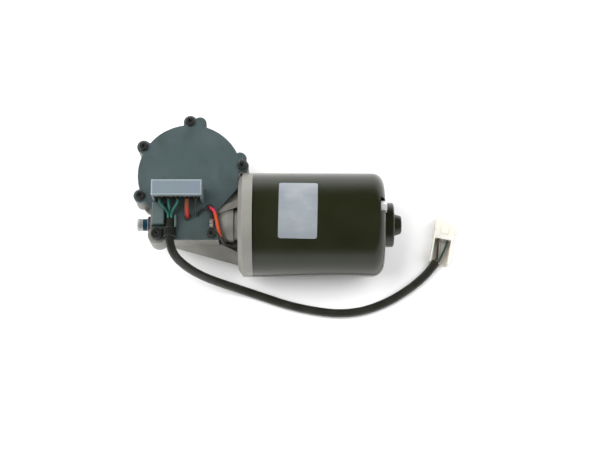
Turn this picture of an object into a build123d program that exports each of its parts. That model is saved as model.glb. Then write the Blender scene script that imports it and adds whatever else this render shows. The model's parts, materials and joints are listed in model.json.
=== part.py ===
from build123d import *
from math import acos, atan2, cos, degrees, pi, radians, sin, sqrt, tan
import os

os.makedirs("parts", exist_ok=True)

# Wiper motor: a permanent-magnet motor with three brushes, a worm and wheel in a cast case, and a lead with a
# plug. Frame: +Z up, out of the case towards its lid. The output shaft's axis is Z, through the origin, and
# the shaft points down. Z = 0 is the plane of the three mounting pads. The motor lies along +X. Millimetres.

# ---------------------------------------------------------------- worm drive
MODULE = 1.25
WHEEL_TEETH = 50
WORM_PITCH_D = 13.5
PRESSURE_ANGLE = 20.0
WHEEL_FACE = 9.0
WORM_TURNS = 6
BACKLASH = 0.30
TIP_CLEARANCE = 0.25

WORM_LEAD = pi * MODULE
WORM_LENGTH = WORM_TURNS * WORM_LEAD
WORM_START = WORM_LEAD / 4 - WORM_LENGTH / 2
WHEEL_PITCH_R = MODULE * WHEEL_TEETH / 2
CENTRE_DISTANCE = WHEEL_PITCH_R + WORM_PITCH_D / 2
LEAD_ANGLE = degrees(atan2(WORM_LEAD, pi * WORM_PITCH_D))
WHEEL_TIP_R = WHEEL_PITCH_R + MODULE
WHEEL_ROOT_R = WHEEL_PITCH_R - MODULE - TIP_CLEARANCE
WORM_TIP_R = WORM_PITCH_D / 2 + MODULE
WORM_ROOT_R = WORM_PITCH_D / 2 - MODULE - TIP_CLEARANCE

# ---------------------------------------------------------------- heights
AXIS_Z = 18.0
PAD_HEIGHT = 5.0
CASE_HEIGHT = 25.0
CASE_FLOOR = 3.0
GASKET_T = 0.6
LID_T = 2.4
CASE_BOTTOM = PAD_HEIGHT
FLOOR_TOP = CASE_BOTTOM + CASE_FLOOR
JOINT_Z = CASE_BOTTOM + CASE_HEIGHT
LID_BOTTOM = JOINT_Z + GASKET_T
LID_TOP = LID_BOTTOM + LID_T

# ---------------------------------------------------------------- motor
CAN_D = 84.0
CAN_WALL = 3.0
CAN_START = 51.0
CAN_LENGTH = 105.4
CAN_CORNER_R = 10.0
END_BOSS_D = 36.0
END_BOSS_H = 8.0
END_NUB_D = 18.4
END_NUB_TIP_D = 14.0
END_NUB_H = 6.3
AIR_GAP = 0.7
CORE_START = 78.0
CORE_LENGTH = 60.0
CORE_SLOTS = 12
MAGNET_T = 8.0
MAGNET_ARC = 128.0
MAGNET_GLUE = 0.1
COMMUTATOR_D = 26.0
COMMUTATOR_START = 50.5
COMMUTATOR_LENGTH = 15.0
COMMUTATOR_BARS = 24
SLOT_W = 6.0
CORE_BACK = 11.2
SLOT_MOUTH = 2.4
CORE_TOOTH_TIP = 1.4
HEAD_LENGTH = 9.8
SHAFT_D = 12.0
SHAFT_STEP = 2.0
TIE_BOLT_D = 5.0
TIE_BOLT_INSET = 5.4
TIE_BOLT_TURN = 13.0
BOLT_BOSS_DEPTH = 8.0
BOLT_BOSS_W = 10.0
REAR_BUSH_LENGTH = 9.0
BOLT_AF = 8.0
HEAD_RECESS = 4.0
HEAD_POCKET_R = 6.0
BEARING_BALL_D = 3.2
BEARING_BALLS = 8
BRUSH_X = 57.0
BRUSH_ANGLES = (-TIE_BOLT_TURN, 180 - TIE_BOLT_TURN, 130 - TIE_BOLT_TURN)
BRUSH_AXIAL = 8.0
BRUSH_WIDTH = 6.0
BRUSH_SPRING_ROOM = 6.43
BRUSH_PLATE_T = 3.0
BRUSH_GAP = 0.07
HOLDER_INNER_R = 15.0
HOLDER_WALL = 1.0
SPRING_WIRE = 0.8
SPRING_TURNS = 4
SPRING_R = 2.2
RUNNING_FIT = 0.04
SLIP_FIT = 0.15

MOTOR_Y = -CENTRE_DISTANCE
CAN_R = CAN_D / 2
CAN_BORE_R = CAN_R - CAN_WALL
CORE_D = 2 * (CAN_BORE_R - MAGNET_GLUE - MAGNET_T - AIR_GAP)
SLOT_DEPTH = CORE_D / 2 - SHAFT_D / 2 - CORE_BACK
BEARING_SEAT_D = SHAFT_D - SHAFT_STEP
JOURNAL_D = SHAFT_D - 2 * SHAFT_STEP
TIE_BOLT_PITCH_R = CAN_BORE_R - TIE_BOLT_INSET
HOLDER_OUTER_R = CAN_BORE_R - 6.5
BRUSH_FACE_R = COMMUTATOR_D / 2 + BRUSH_GAP
BRUSH_LENGTH = HOLDER_OUTER_R - HOLDER_WALL - BRUSH_FACE_R - BRUSH_SPRING_ROOM
CAN_END = CAN_START + CAN_LENGTH
BOSS_END = CAN_END + END_BOSS_H
REAR_BUSH_START = BOSS_END - CAN_WALL - REAR_BUSH_LENGTH - 0.2
REAR_JOURNAL_START = REAR_BUSH_START - 4.0
NUB_END = BOSS_END + END_NUB_H
SHAFT_END = NUB_END - CAN_WALL - 0.4
GROUND_Z = AXIS_Z - CAN_R
MOTOR_AXIS = Axis((0, MOTOR_Y, AXIS_Z), (1, 0, 0))

# ---------------------------------------------------------------- gear housing
WHEEL_ROOM = 4.0
CASE_WALL = 4.0
BLOCK_LEFT = -31.0
BLOCK_RIGHT = 23.4
BLOCK_HALF_W = 15.0
CORNER_BOSS_R = 7.4
WORM_BORE_CLEARANCE = 1.5
SHIELD_START = 39.6
SHIELD_WALL = 3.4
SHIELD_GAP = 0.6
SHIELD_BORE_R = CAN_R - 6.0
SPIGOT_LENGTH = 3.0
NECK_START = 20.0
BELL_START = -20.0
BELL_SMALL_R = 20.5
BELL_LARGE_R = CAN_R - 2.0
BEARING_D = 22.0
BEARING_W = 6.0
BEARING_START = 28.0
BEARING_HOUSING_END = 35.4
BEARING_HOUSING_WALL = 2.8
BUSH_WALL = 3.0
FRONT_BUSH_START = -23.0
FRONT_BUSH_LENGTH = 9.0
ADJUSTER_D = 10.0
ADJUSTER_TIP = -42.8
THRUST_BALL_D = 5.0
THRUST_BALL_X = -24.6
LOCK_NUT_R = 6.8
LOCK_NUT_T = 3.0
LEAD_GROMMET_R = 2.6
GROMMET_LIP = 1.2
GROMMET_AT = (-15.4, -5.0)
POCKET_FLOOR = -6.0
RIB_T = 2.6
RIB_DEPTH = PAD_HEIGHT - 1.0

CASE_BORE_R = WHEEL_TIP_R + WHEEL_ROOM
CASE_R = CASE_BORE_R + CASE_WALL
FLAT_ANGLE = -41.8
LID_FLAT = CASE_BORE_R
CASE_FLAT = LID_FLAT - 0.4
BORE_FLAT = WHEEL_TIP_R + 1.0

# ---------------------------------------------------------------- fastening of the lid
LID_R = CASE_R + 1.5
LID_LUG_R = 5.2
LID_SCREWS = ((CASE_R + 2.2, 10.0), (CASE_R + 3.9, 90.3), (CASE_R + 3.9, 148.0), (CASE_R + 2.7, 203.5))
WIDE_LUGS = ((CASE_R + 2.0, 18.6), (CASE_R + 3.4, 80.0))
APRON_SCREWS = ((-25.7, -48.6), (18.0, -48.4))
APRON_LEFT = -30.4
APRON_RIGHT = 23.4
APRON_EDGE = 15.2
APRON_CORNER_R = 5.0
LID_EDGE = 0.5
LID_RIM_DEPTH = 2.0
LID_RIM_WALL = 1.5
PILLAR_HEIGHT = 8.0
CHANNEL_RIB_HEIGHT = 6.0
CHANNEL_RIB_T = 1.6
SCREW_D = 4.0
SCREW_HEAD_D = 7.2
SCREW_HEAD_H = 3.2
WASHER_FACE = 0.9
SCREW_LENGTH = 14.0

# ---------------------------------------------------------------- mounting and output
MOUNT_PITCH_R = CASE_R - 4.5
MOUNT_ANGLES = (90.0, 210.0, 330.0)
MOUNT_BOSS_R = 8.5
MOUNT_CORE_D = 6.8
MOUNT_DEPTH = 11.0
MOUNT_ROOF = 2.0
OUTPUT_D = 14.0
OUTPUT_BUSH_WALL = 2.0
OUTPUT_BOSS_R = 14.0
OUTPUT_BOSS_BOTTOM = -7.0
OUTPUT_BOSS_TOP = 12.0
SEAL_LENGTH = 3.0
SEAL_R = 11.0
TAPER_TOP = -10.0
TAPER_LENGTH = 7.0
TAPER_SMALL_R = 5.7
STUD_D = 10.0
SERRATIONS = 30
SERRATION_DEPTH = 0.7
CLIP_Z = -9.0
CLIP_T = 1.0
CLIP_DEPTH = 0.7
HUB_R = 11.0
WHEEL_WEB_T = 3.5
WHEEL_RIM_T = 4.0
WHEEL_RIBS = 8
WHEEL_RIB_T = 2.4
DISC_T = 0.5
DISC_INNER_R = 13.0
DISC_OUTER_R = 24.0
PARK_ANGLE = 200.0
PARK_LENGTH = 8.0
THRUST_WASHER_T = 0.5
THRUST_GAP = 0.1

WHEEL_BOTTOM = AXIS_Z - WHEEL_FACE / 2
WHEEL_TOP = AXIS_Z + WHEEL_FACE / 2
HUB_TOP = WHEEL_TOP + 1.0
HUB_BOTTOM = OUTPUT_BOSS_TOP + THRUST_GAP + THRUST_WASHER_T

# ---------------------------------------------------------------- park switch
CARRIER_X = -26.5
CARRIER_Y = 2.0
CARRIER_W = 7.0
CARRIER_L = 15.0
CARRIER_HEIGHT = 4.0
CONTACT_RADII = (15.5, 18.5, 21.5)
CONTACT_W = 2.0
CONTACT_GAP = 0.15

# ---------------------------------------------------------------- terminals and their hood
HOOD_LEFT = -28.2
HOOD_RIGHT = 11.6
HOOD_FRONT = -23.5
HOOD_BACK = -10.9
HOOD_HEIGHT = 29.0
HOOD_WALL = 1.6
HOOD_LIP = 6.0
BLADES = 5
BLADE_W = 4.8
BLADE_T = 0.8
BLADE_L = 9.0
BLADE_Z = LID_TOP + 13.0
BLOCK_DEPTH = 3.6
BLOCK_HEIGHT = 18.0

# ---------------------------------------------------------------- cable channel, leads and cable
PILLAR_LEFT = -29.6
PILLAR_RIGHT = -19.2
PILLAR_BOTTOM = -42.4
CHANNEL_RIB_X = -10.6
CHANNEL_RIB_BACK = -34.4
CABLE_D = 7.0
CABLE_X = -15.2
CABLE_START_Y = -36.8
CABLE_REST = 0.1
CLAMP_T = 1.2
CLAMP_W = 7.0
CLAMP_Y = -48.0
TAG_T = 0.8
LEAD_D = 2.0
SLEEVE_D = 3.4
LEAD_ROOM = 0.6
LEAD_GAP = 0.06
PARK_LEAD_HOLE = (-1.2, -34.9)
BRUSH_LEAD_HOLE = (16.5, -27.0)
TAG_X = APRON_SCREWS[1][0]
TAG_LEAD_Y = -37.0
TAG_BARREL_R = 1.7

# ---------------------------------------------------------------- plug
PLUG_X = 203.5
PLUG_Y = -63.0
PLUG_TURN = 11.3
PLUG_LENGTH = 38.3
PLUG_FRONT_LENGTH = 9.8
PLUG_W = 16.4
PLUG_FRONT_W = 17.6
PLUG_H = 13.0
PLUG_WALL = 1.5
PLUG_SKIRT = 20.0
PLUG_MOUTH_DEPTH = 9.5
CABLE_ENTRY = 1.0
CAVITY_W = 4.6
CAVITY_H = 3.8
PIN_WALL_START = PLUG_LENGTH - PLUG_MOUTH_DEPTH - 1.6
PIN_TAIL_START = PLUG_SKIRT + 1.5
PIN_PITCH_X = 7.8
PIN_PITCH_Y = 5.2
PIN_W = 2.3
PIN_T = 0.8
PIN_SHORT = 3.5
PLUG_LEAD_D = 1.8


def save(node, label):
    """Name a finished piece and write its STEP file."""
    node.part.label = label
    export_step(node.part, f"parts/{label}.step")


def across(x):
    """The plane across the motor axis at x: local x is +Y and local y is +Z."""
    return Plane(origin=(x, MOTOR_Y, AXIS_Z), x_dir=(0, 1, 0), z_dir=(1, 0, 0))


def along():
    """The plane through the motor axis: local x is +X and local y is the radius, towards +Y."""
    return Plane(origin=(0, MOTOR_Y, AXIS_Z), x_dir=(1, 0, 0), z_dir=(0, 0, 1))


def upright():
    """The plane through the output axis: local x is the radius and local y is the height."""
    return Plane.XZ


def polar(radius, angle):
    """A point at this radius and angle, in degrees."""
    return (radius * cos(radians(angle)), radius * sin(radians(angle)))


# ================================================================ gear housing
def bell_section(radius):
    """Section of the bell under the worm tunnel: flat flanks from the block's lower edges to an arc."""
    flank = radius * sin(radians(45))
    inner = BLOCK_HALF_W - 3.0
    heel = sqrt(radius**2 - inner**2)
    top = CASE_BOTTOM - AXIS_Z
    with BuildSketch() as section:
        with BuildLine():
            Polyline(
                (inner, top + 4),
                (-BLOCK_HALF_W + 1, top + 4),
                (-BLOCK_HALF_W - 0.5, top),
                (-flank, -flank),
            )
            ThreePointArc((-flank, -flank), polar(radius, 250), (inner, -heel))
            Line((inner, -heel), (inner, top + 4))
        make_face()
    return section.sketch


def screw_points():
    """Centres of the lid's six screws."""
    return [polar(radius, angle) for radius, angle in LID_SCREWS] + list(APRON_SCREWS)


def flat_sided(radius, flat):
    """A disc cut off flat, at this distance from its centre, on the side towards the motor."""
    with BuildSketch() as disc:
        Circle(radius)
        with Locations(polar(flat + radius / 2, FLAT_ANGLE)):
            Rectangle(radius, 2 * radius, rotation=FLAT_ANGLE, mode=Mode.SUBTRACT)
    return disc.sketch


def lug_outline(case_r, flat, lug_r):
    """The round case, flat beside the motor, with its screw lugs and the two wide lugs next to them."""
    with BuildSketch() as outline:
        add(flat_sided(case_r, flat))
        for radius, angle in LID_SCREWS + WIDE_LUGS:
            with Locations(polar(radius, angle)):
                Circle(lug_r)
            with Locations(polar(radius - lug_r / 2, angle)):
                Rectangle(lug_r, lug_r * 2, rotation=angle)
    return outline.sketch


def beside_shield():
    """The area that the lid and its gasket leave to the end shield."""
    reach = sqrt((CAN_R + SHIELD_GAP) ** 2 - (JOINT_Z - AXIS_Z) ** 2)
    with BuildSketch() as area:
        with Locations((SHIELD_START - SHIELD_GAP + 10, MOTOR_Y)):
            Rectangle(20, 2 * reach)
    return area.sketch


def bearing_housing_section():
    """Half section of the bearing housing: a dome out of the tunnel, a collar and a waist at the shield."""
    collar_r = BEARING_D / 2 + BEARING_HOUSING_WALL
    tunnel_r = WORM_TIP_R + WORM_BORE_CLEARANCE + 1.6
    waist_r = collar_r - 1.6
    dome_end = BEARING_START + 2.5
    dome_middle = ((BLOCK_RIGHT + dome_end) / 2, tunnel_r + 0.75 * (collar_r - tunnel_r))
    with BuildSketch() as section:
        with BuildLine():
            Polyline((NECK_START, 0), (NECK_START, tunnel_r), (BLOCK_RIGHT - 0.5, tunnel_r))
            ThreePointArc((BLOCK_RIGHT - 0.5, tunnel_r), dome_middle, (dome_end, collar_r))
            Polyline(
                (dome_end, collar_r),
                (BEARING_HOUSING_END, collar_r),
                (BEARING_HOUSING_END, waist_r),
                (SHIELD_START + 1, waist_r),
                (SHIELD_START + 1, 0),
                (NECK_START, 0),
            )
        make_face()
    return section.sketch


def lead_pocket():
    """Plan of the hollow between the bearing housing and the bell, where the brush lead goes in."""
    with BuildSketch() as plan:
        with BuildLine():
            Polyline(
                (BLOCK_RIGHT + 0.6, MOTOR_Y - 4.0),
                (BLOCK_RIGHT + 0.6, MOTOR_Y - 13.7),
                (SHIELD_START - 7.0, MOTOR_Y - 16.6),
                (SHIELD_START, MOTOR_Y - 19.6),
                (SHIELD_START, MOTOR_Y - 4.0),
                close=True,
            )
        make_face()
    return plan.sketch


def gear_housing():
    """Aluminium casting: wheel case, worm tunnel, bell, bearing housing and the motor's end shield."""
    bore_r = WORM_TIP_R + WORM_BORE_CLEARANCE
    bush_r = JOURNAL_D / 2 + BUSH_WALL
    block_centre = ((BLOCK_LEFT + BLOCK_RIGHT) / 2, MOTOR_Y + 4)
    with BuildPart() as housing:
        with BuildSketch(Plane.XY.offset(CASE_BOTTOM)):
            add(lug_outline(CASE_R, CASE_FLAT, LID_LUG_R))
            with Locations(block_centre):
                Rectangle(BLOCK_RIGHT - BLOCK_LEFT, 2 * BLOCK_HALF_W + 8)
            with Locations(APRON_SCREWS[0]):
                Circle(CORNER_BOSS_R)
        extrude(amount=CASE_HEIGHT)
        # neck between the case and the end shield
        with BuildSketch(Plane.XY.offset(CASE_BOTTOM)):
            with BuildLine():
                Polyline(
                    (NECK_START, MOTOR_Y + 16),
                    (SHIELD_START, MOTOR_Y + 16),
                    (SHIELD_START, MOTOR_Y + 36),
                    (NECK_START + 8, MOTOR_Y + 52),
                    (NECK_START, MOTOR_Y + 52),
                    close=True,
                )
            make_face()
        extrude(amount=CASE_HEIGHT - 4)
        # inclined web beside the bearing housing
        with BuildSketch(Plane.XY.offset(AXIS_Z)):
            with BuildLine():
                Polyline(
                    (NECK_START, MOTOR_Y + 6),
                    (SHIELD_START, MOTOR_Y + 12.6),
                    (SHIELD_START, MOTOR_Y + 18.6),
                    (NECK_START, MOTOR_Y + 11.4),
                    close=True,
                )
            make_face()
        extrude(amount=CASE_HEIGHT + CASE_BOTTOM - AXIS_Z - 0.6)
        # bell
        with BuildSketch(across(BELL_START)):
            add(bell_section(BELL_SMALL_R))
        with BuildSketch(across(SHIELD_START)):
            add(bell_section(BELL_LARGE_R))
        loft()
        # hollow of the bell beside the bearing housing
        with BuildSketch(Plane.XY.offset(POCKET_FLOOR)):
            add(lead_pocket())
        extrude(amount=AXIS_Z - POCKET_FLOOR, mode=Mode.SUBTRACT)
        # bearing housing
        with BuildSketch(along()):
            add(bearing_housing_section())
        revolve(axis=MOTOR_AXIS)
        # end shield with its spigot
        with BuildSketch(along()):
            with BuildLine():
                Polyline(
                    (SHIELD_START, 0),
                    (SHIELD_START, CAN_R - 5),
                    (SHIELD_START + 3.4, CAN_R),
                    (CAN_START, CAN_R),
                    (CAN_START, CAN_BORE_R - 0.1),
                    (CAN_START + SPIGOT_LENGTH, CAN_BORE_R - 0.1),
                    (CAN_START + SPIGOT_LENGTH, 0),
                    close=True,
                )
            make_face()
        revolve(axis=MOTOR_AXIS)
        # mounting bosses, output boss and the ribs between them
        with BuildSketch(Plane.XY):
            with Locations([polar(MOUNT_PITCH_R, a) for a in MOUNT_ANGLES]):
                Circle(MOUNT_BOSS_R)
        extrude(amount=CASE_BOTTOM)
        with BuildSketch(Plane.XY.offset(OUTPUT_BOSS_BOTTOM)):
            Circle(OUTPUT_BOSS_R)
        extrude(amount=CASE_BOTTOM - OUTPUT_BOSS_BOTTOM)
        with BuildSketch(Plane.XY.offset(CASE_BOTTOM - RIB_DEPTH)):
            with PolarLocations(MOUNT_PITCH_R / 2, 2 * len(MOUNT_ANGLES), start_angle=MOUNT_ANGLES[0]):
                Rectangle(MOUNT_PITCH_R, RIB_T)
        extrude(amount=RIB_DEPTH)
        # wheel chamber, its bosses and the output bearing left standing
        with BuildSketch(Plane.XY.offset(FLOOR_TOP)):
            add(flat_sided(CASE_BORE_R, BORE_FLAT))
            with Locations([polar(MOUNT_PITCH_R, a) for a in MOUNT_ANGLES]):
                Circle(MOUNT_BOSS_R, mode=Mode.SUBTRACT)
            Circle(OUTPUT_BOSS_R, mode=Mode.SUBTRACT)
        extrude(amount=CASE_HEIGHT, mode=Mode.SUBTRACT)
        with BuildSketch(Plane.XY.offset(MOUNT_DEPTH + MOUNT_ROOF)):
            add(flat_sided(CASE_BORE_R, BORE_FLAT))
            Circle(OUTPUT_BOSS_R, mode=Mode.SUBTRACT)
        extrude(amount=CASE_HEIGHT, mode=Mode.SUBTRACT)
        with BuildSketch(Plane.XY.offset(OUTPUT_BOSS_TOP)):
            Circle(OUTPUT_BOSS_R + 0.1)
        extrude(amount=CASE_HEIGHT, mode=Mode.SUBTRACT)
        # worm tunnel, bush seat, bearing seat and brush chamber, all round the motor axis
        with BuildSketch(along()):
            with BuildLine():
                Polyline(
                    (FRONT_BUSH_START, 0),
                    (FRONT_BUSH_START, bush_r),
                    (FRONT_BUSH_START + FRONT_BUSH_LENGTH, bush_r),
                    (FRONT_BUSH_START + FRONT_BUSH_LENGTH, bore_r),
                    (BEARING_START, bore_r),
                    (BEARING_START, BEARING_D / 2),
                    (SHIELD_START + SHIELD_WALL, BEARING_D / 2),
                    (SHIELD_START + SHIELD_WALL, SHIELD_BORE_R),
                    (CAN_START + SPIGOT_LENGTH + 1, SHIELD_BORE_R),
                    (CAN_START + SPIGOT_LENGTH + 1, 0),
                    close=True,
                )
            make_face()
        revolve(axis=MOTOR_AXIS, mode=Mode.SUBTRACT)
        # bosses for the tie bolts inside the end shield
        with BuildSketch(across(SHIELD_START + SHIELD_WALL - 0.5)):
            with PolarLocations(TIE_BOLT_PITCH_R + 1.0, 2, start_angle=90 - TIE_BOLT_TURN):
                Rectangle(BOLT_BOSS_DEPTH, BOLT_BOSS_W)
        extrude(amount=CAN_START - SHIELD_START - SHIELD_WALL)
        with BuildSketch(across(SHIELD_START + 2)):
            with PolarLocations(TIE_BOLT_PITCH_R, 2, start_angle=90 - TIE_BOLT_TURN):
                Circle(TIE_BOLT_D / 2 + RUNNING_FIT)
        extrude(amount=CAN_START + SPIGOT_LENGTH - SHIELD_START, mode=Mode.SUBTRACT)
        # adjusting screw hole and the lock nut's spot face
        with BuildSketch(across(BLOCK_LEFT - LOCK_NUT_T - 1)):
            Circle(LOCK_NUT_R + 0.8)
        extrude(amount=LOCK_NUT_T + 1, mode=Mode.SUBTRACT)
        with BuildSketch(across(BLOCK_LEFT - 1)):
            Circle(ADJUSTER_D / 2 + RUNNING_FIT)
        extrude(amount=FRONT_BUSH_START - BLOCK_LEFT + 2, mode=Mode.SUBTRACT)
        # output bearing bore and the seal's seat
        with BuildSketch(Plane.XY.offset(OUTPUT_BOSS_BOTTOM)):
            Circle(OUTPUT_D / 2 + OUTPUT_BUSH_WALL)
        extrude(amount=OUTPUT_BOSS_TOP - OUTPUT_BOSS_BOTTOM, mode=Mode.SUBTRACT)
        with BuildSketch(Plane.XY.offset(OUTPUT_BOSS_BOTTOM)):
            Circle(SEAL_R)
        extrude(amount=SEAL_LENGTH, mode=Mode.SUBTRACT)
        # tapped holes: mounting holes from below, lid screws from above
        with BuildSketch(Plane.XY):
            with Locations([polar(MOUNT_PITCH_R, a) for a in MOUNT_ANGLES]):
                Circle(MOUNT_CORE_D / 2)
        extrude(amount=MOUNT_DEPTH, mode=Mode.SUBTRACT)
        with BuildSketch(Plane.XY.offset(JOINT_Z)):
            with Locations(screw_points()):
                Circle(SCREW_D / 2 + RUNNING_FIT)
        extrude(amount=-SCREW_LENGTH, mode=Mode.SUBTRACT)
        with BuildSketch(across(SHIELD_START - 1)):
            with Locations(GROMMET_AT):
                Circle(LEAD_GROMMET_R)
        extrude(amount=SHIELD_WALL + 2, mode=Mode.SUBTRACT)
    save(housing, "gear_housing")


# ================================================================ lid and its fittings
def cover_outline():
    """The lid's outline: a disc with its lugs, and the apron over the worm tunnel."""
    apron_bottom = MOTOR_Y - APRON_EDGE
    with BuildSketch() as outline:
        add(lug_outline(LID_R, LID_FLAT, LID_LUG_R + 0.2))
        with Locations(((APRON_LEFT + APRON_RIGHT) / 2, apron_bottom / 2)):
            Rectangle(APRON_RIGHT - APRON_LEFT, -apron_bottom)
        corner = outline.vertices().sort_by_distance((APRON_LEFT, apron_bottom, 0))[0]
        fillet(corner, APRON_CORNER_R)
    return outline.sketch


def cover_gasket():
    """Flat gasket between the case and the lid."""
    with BuildPart() as gasket:
        with BuildSketch(Plane.XY.offset(JOINT_Z)):
            add(lug_outline(CASE_R, CASE_FLAT, LID_LUG_R))
            with Locations(((BLOCK_LEFT + BLOCK_RIGHT) / 2 + 1, MOTOR_Y + 4)):
                Rectangle(BLOCK_RIGHT - BLOCK_LEFT - 2, 2 * BLOCK_HALF_W + 6)
            add(flat_sided(CASE_BORE_R + 0.5, BORE_FLAT + 0.5), mode=Mode.SUBTRACT)
            with Locations(screw_points()):
                Circle(SCREW_D / 2 + SLIP_FIT, mode=Mode.SUBTRACT)
            add(beside_shield(), mode=Mode.SUBTRACT)
        extrude(amount=GASKET_T)
    save(gasket, "cover_gasket")


def gear_cover():
    """Moulded lid with a locating rim, the pillar and rib of the cable channel, and holes for the leads."""
    rim_r = CASE_BORE_R - SLIP_FIT
    rim_flat = BORE_FLAT - SLIP_FIT
    with BuildPart() as cover:
        with BuildSketch(Plane.XY.offset(LID_BOTTOM)):
            add(cover_outline())
        extrude(amount=LID_T - LID_EDGE)
        with BuildSketch(Plane.XY.offset(LID_TOP - LID_EDGE)):
            add(cover_outline())
        extrude(amount=LID_EDGE, taper=45)
        with BuildSketch(Plane.XY.offset(LID_BOTTOM)):
            add(beside_shield())
        extrude(amount=LID_T, mode=Mode.SUBTRACT)
        with BuildSketch(Plane.XY.offset(LID_BOTTOM - LID_RIM_DEPTH)):
            add(flat_sided(rim_r, rim_flat))
            add(flat_sided(rim_r - LID_RIM_WALL, rim_flat - LID_RIM_WALL), mode=Mode.SUBTRACT)
        extrude(amount=LID_RIM_DEPTH)
        with BuildSketch(Plane.XY.offset(LID_TOP)):
            with Locations(((PILLAR_LEFT + PILLAR_RIGHT) / 2, (HOOD_FRONT + PILLAR_BOTTOM) / 2)):
                Rectangle(PILLAR_RIGHT - PILLAR_LEFT, HOOD_FRONT - PILLAR_BOTTOM)
        extrude(amount=PILLAR_HEIGHT, taper=3)
        pillar_top = cover.faces().filter_by(Axis.Z).sort_by(Axis.Z)[-1]
        fillet(pillar_top.edges(), 1.2)
        rib_length = CHANNEL_RIB_BACK - CLAMP_Y - CLAMP_W / 2 - 0.4
        with BuildSketch(Plane.XY.offset(LID_TOP)):
            with Locations((CHANNEL_RIB_X, CHANNEL_RIB_BACK - rib_length / 2)):
                Rectangle(CHANNEL_RIB_T, rib_length)
        extrude(amount=CHANNEL_RIB_HEIGHT)
        with BuildSketch(Plane.XY.offset(LID_BOTTOM - LID_RIM_DEPTH - 1)):
            with Locations(screw_points()):
                Circle(SCREW_D / 2 + SLIP_FIT)
            with Locations(PARK_LEAD_HOLE, BRUSH_LEAD_HOLE):
                Circle(LEAD_D / 2 + LEAD_ROOM)
        extrude(amount=LID_T + LID_RIM_DEPTH + 2, mode=Mode.SUBTRACT)
    save(cover, "gear_cover")


def cover_screws():
    """Six lid screws with hexagon sockets; the last two stand on the cable clamp and on the earth tag."""
    seats = [LID_TOP] * len(LID_SCREWS) + [LID_TOP + CLAMP_T, LID_TOP + TAG_T]
    head_r = SCREW_HEAD_D / 2
    head_radii = [head_r] * len(LID_SCREWS) + [head_r + WASHER_FACE, head_r - 0.4]
    with BuildPart() as screws:
        for point, seat, radius in zip(screw_points(), seats, head_radii):
            with BuildSketch(Plane.XY.offset(JOINT_Z - SCREW_LENGTH + 1)):
                with Locations(point):
                    Circle(SCREW_D / 2)
            extrude(amount=seat - JOINT_Z + SCREW_LENGTH)
            with BuildSketch(Plane.XY.offset(seat)):
                with Locations(point):
                    Circle(radius)
            extrude(amount=SCREW_HEAD_H)
            top = screws.faces(Select.LAST).filter_by(Axis.Z).sort_by(Axis.Z)[-1]
            chamfer(top.edges(), SCREW_HEAD_H / 5)
            with BuildSketch(Plane.XY.offset(seat + SCREW_HEAD_H)):
                with Locations(point):
                    RegularPolygon(SCREW_D / 2, 6)
            extrude(amount=-0.6 * SCREW_HEAD_H, mode=Mode.SUBTRACT)
    save(screws, "cover_screws")


def terminal_hood():
    """Box-shaped hood over the terminals, open towards the leads and stood on the lid."""
    width = HOOD_RIGHT - HOOD_LEFT
    depth = HOOD_BACK - HOOD_FRONT
    centre = ((HOOD_LEFT + HOOD_RIGHT) / 2, (HOOD_FRONT + HOOD_BACK) / 2)
    with BuildPart() as hood:
        with BuildSketch(Plane.XY.offset(LID_TOP)):
            with Locations(centre):
                Rectangle(width, depth)
        extrude(amount=HOOD_HEIGHT)
        chamfer(hood.faces().sort_by(Axis.Z)[-1].edges(), 0.7)
        fillet(hood.edges().filter_by(Axis.Z), 0.8)
        with BuildSketch(Plane.XY.offset(LID_TOP)):
            with Locations((centre[0], centre[1] - HOOD_WALL)):
                Rectangle(width - 2 * HOOD_WALL, depth)
        extrude(amount=HOOD_HEIGHT - HOOD_WALL, mode=Mode.SUBTRACT)
        # lip that is left standing over the open side
        with BuildSketch(Plane.XY.offset(LID_TOP + HOOD_HEIGHT - HOOD_LIP)):
            with Locations((centre[0], HOOD_FRONT + HOOD_WALL / 2 + 0.2)):
                Rectangle(width - 2 * HOOD_WALL + 0.4, HOOD_WALL)
        extrude(amount=HOOD_LIP - 1.0)
    save(hood, "terminal_hood")


def blade_x(number):
    """X of each flat terminal in the hood."""
    inner = HOOD_RIGHT - HOOD_LEFT - 2 * HOOD_WALL
    pitch = inner / BLADES
    return HOOD_LEFT + HOOD_WALL + pitch * (number + 0.5)


def terminal_block():
    """Insulating carrier at the back of the hood, with a slot for each flat terminal."""
    with BuildPart() as block:
        with BuildSketch(Plane.XY.offset(LID_TOP)):
            with Locations(((HOOD_LEFT + HOOD_RIGHT) / 2, HOOD_BACK - HOOD_WALL - BLOCK_DEPTH / 2 - 0.1)):
                Rectangle(HOOD_RIGHT - HOOD_LEFT - 2 * HOOD_WALL - 0.3, BLOCK_DEPTH)
        extrude(amount=BLOCK_HEIGHT)
        with BuildSketch(Plane.XZ.offset(-HOOD_BACK + HOOD_WALL)):
            with Locations([(blade_x(n), BLADE_Z) for n in range(BLADES)]):
                Rectangle(BLADE_W + 0.1, BLADE_T + 0.1)
        extrude(amount=BLOCK_DEPTH + 2, mode=Mode.SUBTRACT)
    save(block, "terminal_block")


def blade_terminals():
    """Flat brass terminals that point out of the hood's open side."""
    start = HOOD_BACK - HOOD_WALL - 0.2
    with BuildPart() as blades:
        with BuildSketch(Plane.XZ.offset(-start)):
            with Locations([(blade_x(n), BLADE_Z) for n in range(BLADES)]):
                Rectangle(BLADE_W, BLADE_T)
        extrude(amount=BLADE_L)
    save(blades, "blade_terminals")


def contact_carrier():
    """Block under the lid that holds the park switch's springs."""
    with BuildPart() as carrier:
        with BuildSketch(Plane.XY.offset(LID_BOTTOM - CARRIER_HEIGHT)):
            with Locations((CARRIER_X, CARRIER_Y)):
                RectangleRounded(CARRIER_W, CARRIER_L, 1.5)
        extrude(amount=CARRIER_HEIGHT)
    save(carrier, "contact_carrier")


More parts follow.
